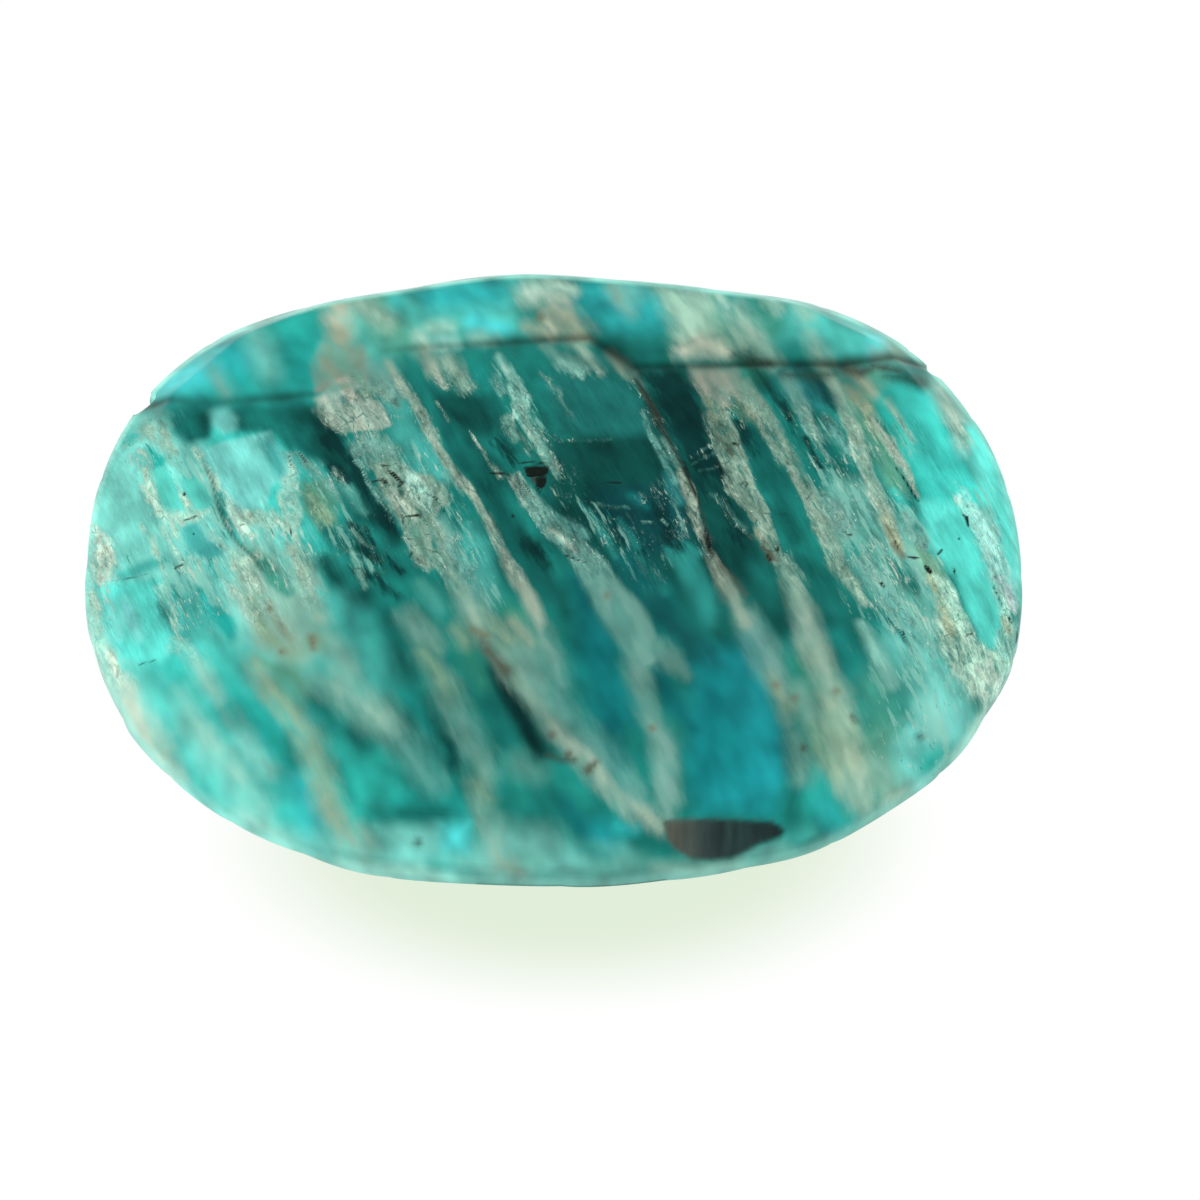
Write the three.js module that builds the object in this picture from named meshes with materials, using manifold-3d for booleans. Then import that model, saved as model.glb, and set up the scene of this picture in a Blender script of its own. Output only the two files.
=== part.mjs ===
// A cut amazonite gemstone: a thick oval, faceted and polished by hand, in one piece.
// A steep rim bevel runs round a low crown, the underside narrows in two tiers to a small base flat,
// and an old fracture crosses the far side of the crown from edge to edge.
// Millimetres, +Z up. The origin is the middle of the base flat, +X runs along the stone's long axis.

import * as THREE from "three";
import { mergeVertices } from "three/addons/utils/BufferGeometryUtils.js";
import Module from "manifold-3d";

const wasm = await Module();
wasm.setup();

// ---- driving dimensions ----
const HEIGHT = 7.4; // base flat to table
const GIRDLE_Z = 5.0; // middle of the girdle band above the base flat
const GIRDLE_BAND = 0.8; // height of the girdle band
const BEVEL_RISE = 0.95; // height of the rim bevel over the girdle band

// Corners of the girdle, counterclockwise from the right end. The far side is even. The near side has
// longer and shorter flats, where the rim was ground by hand.
const GIRDLE_CORNERS = [
  [12.15, -0.6], [11.95, 2.15], [11.15, 4.7], [9.6, 7.05], [7.3, 8.6], [4.5, 9.25], [1.75, 9.65],
  [-1.1, 9.85], [-3.9, 9.4], [-6.65, 8.75], [-9.1, 7.55], [-10.9, 5.5], [-11.9, 2.9], [-12.15, 0.1],
  [-11.95, -2.2], [-11.1, -4.5], [-9.8, -6.3], [-8.2, -7.75], [-6.4, -8.75], [-4.25, -9.5], [-1.9, -9.7],
  [0.4, -9.85], [2.7, -9.7], [4.8, -9.3], [6.95, -8.55], [9.8, -6.4], [11.05, -4.65], [11.85, -2.9],
];

// Tiers of facets. A tier's planes lean on the girdle outline at two scales and heights. A facet of
// the edge tiers stands on one flat of the girdle; one of the corner tiers straddles a corner.
const GIRDLE_TOP = GIRDLE_Z + GIRDLE_BAND / 2;
const GIRDLE_FOOT = GIRDLE_Z - GIRDLE_BAND / 2;
const BEVEL_TOP = GIRDLE_TOP + BEVEL_RISE;
const CROWN_TIERS = [
  { name: "rim bevel", on: "flats", low: [1.0, GIRDLE_TOP], high: [0.91, BEVEL_TOP] },
  { name: "crown mains", on: "odd corners", low: [0.91, BEVEL_TOP], high: [0.5, HEIGHT - 0.3] },
  { name: "crown stars", on: "even corners", low: [0.62, HEIGHT - 0.48], high: [0.22, HEIGHT - 0.03] },
];
const PAVILION_TIERS = [
  { name: "lower bevel", on: "flats", low: [0.86, 3.3], high: [1.0, GIRDLE_FOOT] },
  { name: "pavilion mains", on: "odd corners", low: [0.36, 0], high: [0.86, 3.3] },
];

// ---- facet planes ----
// A repeatable number from -1 to 1, for the small unevenness of work done by hand.
function uneven(seed) {
  const wave = Math.sin(seed * 127.1 + 311.7) * 43758.5453;
  return 2 * (wave - Math.floor(wave)) - 1;
}

const LEAN_SLACK = 0.05; // how far a facet's upper line strays, in mm
const TIER_SEED = 50; // steps the unevenness on from one tier to the next
const corners = GIRDLE_CORNERS.map(([x, y]) => new THREE.Vector2(x, y));

function cornerAt(i) {
  return corners[(i + corners.length) % corners.length];
}

// The facets of a tier in plan: each has its outward direction and the distance of the girdle from
// the middle in that direction.
function planFacets(on) {
  const step = on === "flats" ? 1 : 2;
  const first = on === "odd corners" ? 1 : 0;
  const facets = [];
  for (let i = first; i < corners.length; i += step) {
    const [from, to] = on === "flats" ? [cornerAt(i), cornerAt(i + 1)] : [cornerAt(i - 1), cornerAt(i + 1)];
    const outward = new THREE.Vector2(to.y - from.y, from.x - to.x).normalize();
    facets.push({ outward, reach: cornerAt(i).dot(outward) });
  }
  return facets;
}

function facetPlane({ outward, reach }, low, high) {
  const run = reach * (high[0] - low[0]);
  const rise = high[1] - low[1];
  const normal = new THREE.Vector3(outward.x * rise, outward.y * rise, -run).normalize();
  const distance = normal.z * low[1] + Math.hypot(normal.x, normal.y) * reach * low[0];
  return { normal, distance };
}

function tierPlanes(tier, seed) {
  return planFacets(tier.on).map((facet, i) => {
    const stray = LEAN_SLACK * uneven(seed + i);
    return facetPlane(facet, tier.low, [tier.high[0], tier.high[1] + stray]);
  });
}

const girdlePlanes = planFacets("flats").map(({ outward, reach }) => ({
  normal: new THREE.Vector3(outward.x, outward.y, 0),
  distance: reach,
}));
const crownPlanes = CROWN_TIERS.flatMap((tier, i) => tierPlanes(tier, TIER_SEED * i));
const pavilionPlanes = PAVILION_TIERS.flatMap((tier, i) => tierPlanes(tier, TIER_SEED * (i + 4)));

// Height of the polished crown over a point of the plan.
function crownHeight(x, y) {
  const heights = crownPlanes.map(({ normal: n, distance }) => (distance - n.x * x - n.y * y) / n.z);
  return Math.min(HEIGHT, ...heights);
}

// ---- solids ----
function solidOf(geometry) {
  const plain = geometry.clone();
  plain.deleteAttribute("normal");
  plain.deleteAttribute("uv");
  const merged = mergeVertices(plain, 1e-4);
  return new wasm.Manifold(
    new wasm.Mesh({
      numProp: 3,
      vertProperties: new Float32Array(merged.attributes.position.array),
      triVerts: new Uint32Array(merged.index.array),
    }),
  );
}

function geometryOf(solid) {
  const { numProp, vertProperties, triVerts } = solid.getMesh();
  const count = vertProperties.length / numProp;
  const positions = new Float32Array(count * 3);
  for (let i = 0; i < count; i++) {
    positions.set(vertProperties.subarray(i * numProp, i * numProp + 3), i * 3);
  }
  const geometry = new THREE.BufferGeometry();
  geometry.setAttribute("position", new THREE.BufferAttribute(positions, 3));
  geometry.setIndex(new THREE.BufferAttribute(new Uint32Array(triVerts), 1));
  const flat = geometry.toNonIndexed();
  flat.computeVertexNormals();
  return flat;
}

// The rough block, ground away facet by facet.
function facetedStone() {
  const reach = 1.1 * Math.max(...corners.map((corner) => corner.length()));
  const block = new THREE.BoxGeometry(2 * reach, 2 * reach, HEIGHT).translate(0, 0, HEIGHT / 2);
  const planes = [...girdlePlanes, ...crownPlanes, ...pavilionPlanes];
  return planes.reduce(
    (solid, { normal, distance }) => solid.trimByPlane([-normal.x, -normal.y, -normal.z], -distance),
    solidOf(block),
  );
}

// ---- the fracture ----
// Its route over the crown, from the left rim to the right rim, seen from above. It steps sideways
// where it meets the thick pale bands.
const FRACTURE_ROUTE = [
  [-11.4, 5.3], [-10.4, 4.9], [-9.2, 4.55], [-7.9, 4.5], [-6.2, 4.5], [-5.4, 5.2], [-4.4, 6.0],
  [-2.7, 6.1], [-0.8, 6.25], [1.0, 6.4], [1.6, 5.85], [2.15, 5.25], [3.9, 5.3], [5.7, 5.45],
  [7.6, 5.6], [9.6, 6.2], [10.9, 6.7],
];
const FRACTURE_WIDTH = 0.26; // mouth of the open fracture
const FRACTURE_DEPTH = 0.34; // depth of its groove under the crown
const FRACTURE_WANDER = 0.06; // sideways wander between the points of the route
const MOUTH_LIFT = 0.4; // how far the cutting wedge stands over the crown

function fractureWedge() {
  const route = [];
  FRACTURE_ROUTE.forEach(([x, y], i) => {
    route.push(new THREE.Vector2(x, y));
    const next = FRACTURE_ROUTE[i + 1];
    if (next) {
      const aside = FRACTURE_WANDER * uneven(i);
      route.push(new THREE.Vector2((x + next[0]) / 2, (y + next[1]) / 2 + aside));
    }
  });
  const positions = [];
  route.forEach((point, i) => {
    const before = route[Math.max(0, i - 1)];
    const after = route[Math.min(route.length - 1, i + 1)];
    const side = new THREE.Vector2(before.y - after.y, after.x - before.x).normalize();
    const surface = crownHeight(point.x, point.y);
    const spread = (FRACTURE_WIDTH / 2) * (1 + MOUTH_LIFT / FRACTURE_DEPTH);
    const top = surface + MOUTH_LIFT;
    positions.push(point.x + side.x * spread, point.y + side.y * spread, top);
    positions.push(point.x - side.x * spread, point.y - side.y * spread, top);
    positions.push(point.x, point.y, surface - FRACTURE_DEPTH);
  });
  const faces = [];
  for (let i = 0; i < route.length - 1; i++) {
    const [left, right, foot] = [3 * i, 3 * i + 1, 3 * i + 2];
    faces.push(left, right, right + 3, left, right + 3, left + 3);
    faces.push(right, foot, foot + 3, right, foot + 3, right + 3);
    faces.push(foot, left, left + 3, foot, left + 3, foot + 3);
  }
  const end = 3 * (route.length - 1);
  faces.push(0, 2, 1, end, end + 1, end + 2);
  const geometry = new THREE.BufferGeometry();
  geometry.setAttribute("position", new THREE.BufferAttribute(new Float32Array(positions), 3));
  geometry.setIndex(faces);
  return solidOf(geometry);
}

// ---- pits, chips and the patch of natural skin ----
// Each is an uneven lump taken out of the stone: place, half sizes and turn. One with no height given
// is centred on the crown's surface.
const HOLLOWS = [
  { name: "open pit", at: [-0.45, 1.35], size: [0.4, 0.26, 0.3], turn: 0.0 },
  { name: "pit under it", at: [-0.15, 1.0], size: [0.28, 0.18, 0.2], turn: -0.9 },
  { name: "left band pit", at: [-4.2, 1.95], size: [0.22, 0.16, 0.18], turn: 0.5 },
  { name: "left band nick", at: [-3.4, 0.85], size: [0.2, 0.1, 0.14], turn: 0.1 },
  { name: "rust pit", at: [5.55, -0.85], size: [0.2, 0.28, 0.2], turn: 0.3 },
  { name: "dark band pit", at: [4.0, -0.95], size: [0.14, 0.34, 0.18], turn: 0.25 },
  { name: "right edge pit", at: [10.6, 0.8], size: [0.16, 0.28, 0.16], turn: 0.4 },
  { name: "right band nick", at: [10.3, -2.7], size: [0.14, 0.2, 0.14], turn: -0.4 },
];
const CHIPS = [
  { name: "left fracture chip", at: [-10.85, 5.4, 5.4], size: [0.4, 0.46, 1.1], turn: 0.3 },
  { name: "right fracture chip", at: [10.25, 6.35, 5.5], size: [0.34, 0.38, 0.8], turn: -0.3 },
  { name: "lower right nick", at: [11.15, -4.7, 5.4], size: [0.2, 0.34, 0.34], turn: 0.5 },
  { name: "left rim nick", at: [-11.75, -3.3, 5.4], size: [0.22, 0.3, 0.26], turn: 0.2 },
];

// The patch lies in the rim bevel of the near side, with its straight upper edge along the top of the
// bevel.
const SKIN_PATCH = { at: [4.25, -9.12, 5.78], size: [1.55, 0.62, 0.24], lean: 0.82, turn: 0.17, detail: 2 };

const LUMP_UNEVENNESS = 0.14; // share by which a lump's corners stand in or out
const LUMP_SEED = 10; // steps the unevenness on from one lump to the next

// A lump with flat faces and uneven corners, leaning about X and then turned about Z.
function lump({ size, turn, lean = 0, detail = 1 }, seed) {
  const ball = new THREE.IcosahedronGeometry(1, detail);
  ball.deleteAttribute("normal");
  ball.deleteAttribute("uv");
  const merged = mergeVertices(ball, 1e-4);
  const position = merged.attributes.position;
  const halfSizes = new THREE.Vector3(...size);
  const corner = new THREE.Vector3();
  for (let i = 0; i < position.count; i++) {
    const swell = 1 + LUMP_UNEVENNESS * uneven(seed + i * 1.37);
    corner.fromBufferAttribute(position, i).multiply(halfSizes).multiplyScalar(swell);
    position.setXYZ(i, corner.x, corner.y, corner.z);
  }
  return merged.rotateX(lean).rotateZ(turn);
}

function sunkenLump(hollow, seed) {
  const [x, y, z = crownHeight(x, y)] = hollow.at;
  return solidOf(lump(hollow, seed).translate(x, y, z));
}

// ---- the finished stone ----
function finishedStone() {
  const lumps = [...HOLLOWS, ...CHIPS, SKIN_PATCH].map((hollow, i) => sunkenLump(hollow, LUMP_SEED * i));
  return [fractureWedge(), ...lumps].reduce((solid, tool) => solid.subtract(tool), facetedStone());
}

const polishedTeal = new THREE.MeshStandardMaterial({ color: 0x2f9a90, roughness: 0.18, metalness: 0 });
const stone = new THREE.Mesh(geometryOf(finishedStone()), polishedTeal);
stone.name = "stone";

const gem = new THREE.Group();
gem.add(stone);

export default gem;
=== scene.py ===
import math

import bpy
import numpy as np
from mathutils import Matrix, Vector
from mathutils.geometry import convex_hull_2d


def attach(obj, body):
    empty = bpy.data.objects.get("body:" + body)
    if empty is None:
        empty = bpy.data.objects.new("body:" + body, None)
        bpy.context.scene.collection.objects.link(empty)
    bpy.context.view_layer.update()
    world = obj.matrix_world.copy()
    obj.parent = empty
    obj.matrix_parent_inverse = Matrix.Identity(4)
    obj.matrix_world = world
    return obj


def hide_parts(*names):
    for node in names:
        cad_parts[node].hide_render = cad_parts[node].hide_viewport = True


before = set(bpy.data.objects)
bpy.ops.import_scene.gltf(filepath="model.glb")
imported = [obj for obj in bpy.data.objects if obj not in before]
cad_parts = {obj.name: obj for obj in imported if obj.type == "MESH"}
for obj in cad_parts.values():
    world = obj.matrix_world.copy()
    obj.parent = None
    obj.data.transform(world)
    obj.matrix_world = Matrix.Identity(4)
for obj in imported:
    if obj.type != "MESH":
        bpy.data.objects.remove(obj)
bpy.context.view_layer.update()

# A cut amazonite gemstone on a lit white table: a thick oval of teal feldspar, banded with pale
# albite, faceted and polished by hand. Lengths in this script are millimetres unless a comment says
# otherwise, and MM turns them into Blender's metres.

MM = 0.001
STONE_NODE = "stone"

# ---- the polished form ----
HEART = np.array([0.0, 0.0, 4.6])  # point inside the stone that all facets face away from
GIRDLE_TOP = 5.4
GIRDLE_FOOT = 4.6
BEVEL_TOP = 6.35
LOWER_BEVEL_FOOT = 3.3
SAME_FLAT_TURN = math.radians(2.5)  # two upright faces closer in turn than this are one flat
SWELL_TRIM = 0.998  # keeps the rounded outline within the flat one's reach
SWELL_STEPS = 16  # points between two corners of the outline where it is rounded
PLANE_SLACK = 0.002  # how far a point may stand over a facet's plane and still be on it
EDGE_SHARPNESS = 300  # higher is sharper: the polish rounds each edge a little
CROWN_CELLS = (320, 228)
UNDERSIDE_CELLS = (160, 114)
GIRDLE_ROWS = 5
UNDERSIDE_INSET = 0.997  # keeps the underside's edge clear of the girdle's foot
SLIVER_AREA = 1e-3  # twice the area of a face that is too small to have a sure normal
PLANE_DECIMALS = 2  # facets that agree to this many places are one
UPRIGHT_LEAN = 0.02  # the Z of a facet's normal is below this where the facet is upright
LEVEL_LEAN = 0.05  # and above this on the crown, or below minus this on the underside
TINY = 1e-6

# ---- carved features, in the places that the solid has them ----
FRACTURE_ROUTE = [
    (-11.4, 5.3), (-10.4, 4.9), (-9.2, 4.55), (-7.9, 4.5), (-6.2, 4.5), (-5.4, 5.2), (-4.4, 6.0),
    (-2.7, 6.1), (-0.8, 6.25), (1.0, 6.4), (1.6, 5.85), (2.15, 5.25), (3.9, 5.3), (5.7, 5.45),
    (7.6, 5.6), (9.6, 6.2), (10.9, 6.7),
]
FRACTURE_WIDTH = 0.6
FRACTURE_DEPTH = 0.06
FRACTURE_LEDGE = 0.1  # how far below the girdle's top it still cuts
# the dirt in it and the painted shade along it: place across, how far it spreads to each side, how strong it
# is
FRACTURE_SHADE_AND_DIRT = [
    (-11.4, 0.22, 0.75), (-10, 0.22, 0.8), (-9.3, 0.2, 0.35), (-8, 0.2, 0.55), (-6.9, 0.2, 0.7),
    (-6.2, 0.14, 0.4), (-5.6, 0.14, 0.1), (-4.6, 0.14, 0.08), (-4, 0.18, 0.4), (-2.6, 0.18, 0.5),
    (-1, 0.2, 0.65), (0.8, 0.2, 0.75), (1.6, 0.24, 0.85), (2.4, 0.18, 0.65), (3.8, 0.16, 0.6),
    (5, 0.18, 0.85), (6.2, 0.22, 0.8), (7.2, 0.2, 0.85), (8, 0.26, 0.95), (8.9, 0.22, 0.9), (9.4, 0.2, 0.8),
    (11, 0.2, 0.85),
]
# the colour that the fracture's dirt and painted shade multiply by
FRACTURE_SHADE_AND_DIRT_TINT = (0.22, 0.17, 0.15)

# name: place, half sizes, turn about Z
HOLLOWS = {
    "open pit": ((-0.46, 1.26), (0.3, 0.1, 0.12), 0.0),
    "pit under it": ((-0.32, 0.9), (0.12, 0.1, 0.06), -0.9),
    "left band pit": ((-4.2, 1.95), (0.22, 0.16, 0.18), 0.5),
    "left band nick": ((-3.4, 0.85), (0.2, 0.1, 0.14), 0.1),
    "rust pit": ((5.55, -0.85), (0.2, 0.28, 0.2), 0.3),
    "dark band pit": ((4.0, -0.95), (0.14, 0.34, 0.18), 0.25),
    "right edge pit": ((10.6, 0.8), (0.16, 0.28, 0.16), 0.4),
    "right band nick": ((10.3, -2.7), (0.14, 0.2, 0.14), -0.4),
}
CHIPS = {
    "left fracture chip": ((-10.85, 5.4, 5.4), (0.4, 0.46, 1.1), 0.3),
    "right fracture chip": ((10.25, 6.35, 5.5), (0.34, 0.38, 0.8), -0.3),
    "lower right nick": ((11.15, -4.7, 5.4), (0.2, 0.34, 0.34), 0.5),
    "left rim nick": ((-11.75, -3.3, 5.4), (0.22, 0.3, 0.26), 0.2),
}
SKIN_PATCH = ((4.25, -9.12, 5.78), (1.55, 0.62, 0.24), 0.17)
SKIN_LEAN = 0.82
LUMP_SEED = 3
LUMP_UNEVENNESS = 0.14
LUMP_WOBBLE = 4.0  # bumps to a millimetre on a hollow's wall

# ---- the drawing sheet ----
# The bands are drawn on a square sheet of 1200 units a side, which the crown is seen on from the
# front and above. A band runs through the stone along the line of sight, as a lamella does.
SHEET_SIZE = 1200.0
SHEET_TARGET = np.array([0.0, 0.0, 3.7])  # the point of the stone that the sheet's eye looks at
SHEET_REACH = 150.0  # how far away the sheet's eye is
SHEET_SCALE = 38.3  # units to a millimetre
SHEET_MIDDLE = (554.0, 600.4)  # and where that point falls on the sheet
SHEET_RISE = math.radians(52.0)
SHEET_ROLL = math.radians(0.49)
GRAIN_SLOPE = math.radians(62.0)  # the bands fall to the right at this slope on the sheet

# ---- the brush ----
EDGE = (-1.0, 1.0)  # a marking's edge fades over this stretch, in units of its softness
FIELD_LIMIT = 4.0  # no place counts as further inside or outside a marking than this
NEARBY = 6.0  # how many softnesses round a marking are drawn
LAYER_COVER = 0.97  # how fully a lamella hides the colour of those listed before it
PULL = 1.6  # how quickly a lamella's colour gains on its neighbours', by depth inside it
PULL_LIMIT = 2.5  # the depth past which it gains no more
UNDERPAINT = 1e-4  # weight of the plain albite under all lamellae
RIPPLES = [(11, 1.5, 9.0, 30.0), (12, 1.4, 24.0, 44.0), (13, 1.4, 5.0, 13.0)]  # seed, reach, width, length
CROWN_FOOT = (0.35, 0.1)  # stains start and are full this far below the girdle's top
BRIGHTEST = 0.9  # no colour gets lighter than this by the light that comes through

# ---- pigments, linear ----
TEALS = {
    "ink": (0.002, 0.03, 0.029), "bottle": (0.004, 0.07, 0.06), "pine": (0.006, 0.12, 0.102),
    "sea": (0.01, 0.19, 0.158), "lagoon": (0.014, 0.31, 0.27), "jade": (0.022, 0.38, 0.315),
    "petrol": (0.004, 0.13, 0.136), "deep blue": (0.005, 0.185, 0.193), "azure": (0.01, 0.26, 0.28),
    "surf": (0.028, 0.43, 0.425), "reef": (0.055, 0.37, 0.32), "turquoise": (0.05, 0.54, 0.465),
    "aqua": (0.1, 0.65, 0.56), "glint": (0.08, 0.72, 0.72), "ice": (0.18, 0.64, 0.57),
    "mint": (0.38, 0.72, 0.57), "moss": (0.09, 0.31, 0.215), "fern": (0.03, 0.24, 0.165),
    "mist": (0.14, 0.44, 0.375), "haze": (0.23, 0.48, 0.385), "smoke": (0.1, 0.33, 0.27),
    "rim light": (0.36, 0.86, 0.73), "foam": (0.16, 0.56, 0.48), "dim lagoon": (0.018, 0.23, 0.205),
    "upper teal": (0.012, 0.155, 0.135), "night": (0.006, 0.085, 0.086), "dusk": (0.006, 0.15, 0.15),
    "dim blue": (0.02, 0.21, 0.205), "dull teal": (0.022, 0.24, 0.212), "tongue cyan": (0.078, 0.54, 0.46),
    "lime": (0.17, 0.43, 0.29), "highlight cyan": (0.08, 0.66, 0.64), "ink blue": (0.004, 0.06, 0.062),
    "sea glass": (0.085, 0.5, 0.42), "chip teal": (0.06, 0.39, 0.355), "pale aqua": (0.22, 0.84, 0.72),
    "rim mint": (0.34, 0.74, 0.61), "haze teal": (0.19, 0.47, 0.4), "moss teal": (0.06, 0.3, 0.25),
    "fern lens": (0.06, 0.33, 0.25), "crumb teal": (0.105, 0.37, 0.305),
}
ALBITES = {
    "chalk": (0.46, 0.56, 0.45), "cream": (0.34, 0.45, 0.35), "bone": (0.25, 0.39, 0.3),
    "pebble": (0.17, 0.36, 0.3), "ash": (0.155, 0.36, 0.3), "mud": (0.36, 0.45, 0.29),
    "tan": (0.36, 0.42, 0.29), "olive": (0.22, 0.39, 0.25), "rose": (0.39, 0.4, 0.32),
    "milk": (0.56, 0.71, 0.57), "pearl": (0.42, 0.64, 0.5), "sage": (0.3, 0.47, 0.36),
    "slate": (0.11, 0.34, 0.295), "dew": (0.28, 0.62, 0.51), "dun": (0.21, 0.32, 0.235),
    "thread brown": (0.11, 0.17, 0.138), "bark": (0.03, 0.055, 0.044), "sand": (0.28, 0.33, 0.26),
    "tan light": (0.64, 0.66, 0.5), "snow": (0.56, 0.88, 0.72), "smoke grey": (0.05, 0.19, 0.165),
    "moss olive": (0.12, 0.21, 0.11), "parchment": (0.42, 0.56, 0.37), "blue ash": (0.165, 0.39, 0.35),
    "haze green": (0.19, 0.43, 0.345), "froth": (0.52, 0.8, 0.64), "straw": (0.56, 0.6, 0.44),
    "tusk": (0.58, 0.72, 0.58), "shell": (0.46, 0.78, 0.6), "shell mint": (0.36, 0.8, 0.66),
    "peat": (0.085, 0.225, 0.185), "brown olive": (0.12, 0.24, 0.18), "clay": (0.19, 0.255, 0.178),
}
STAINS = {
    "umber": (0.05, 0.06, 0.042), "rust": (0.17, 0.17, 0.105), "pitch": (0.008, 0.014, 0.012),
    "liver": (0.088, 0.092, 0.064), "green dirt and shade": (0.02, 0.062, 0.044), "bark": (0.026, 0.036, 0.026),
}

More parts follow.
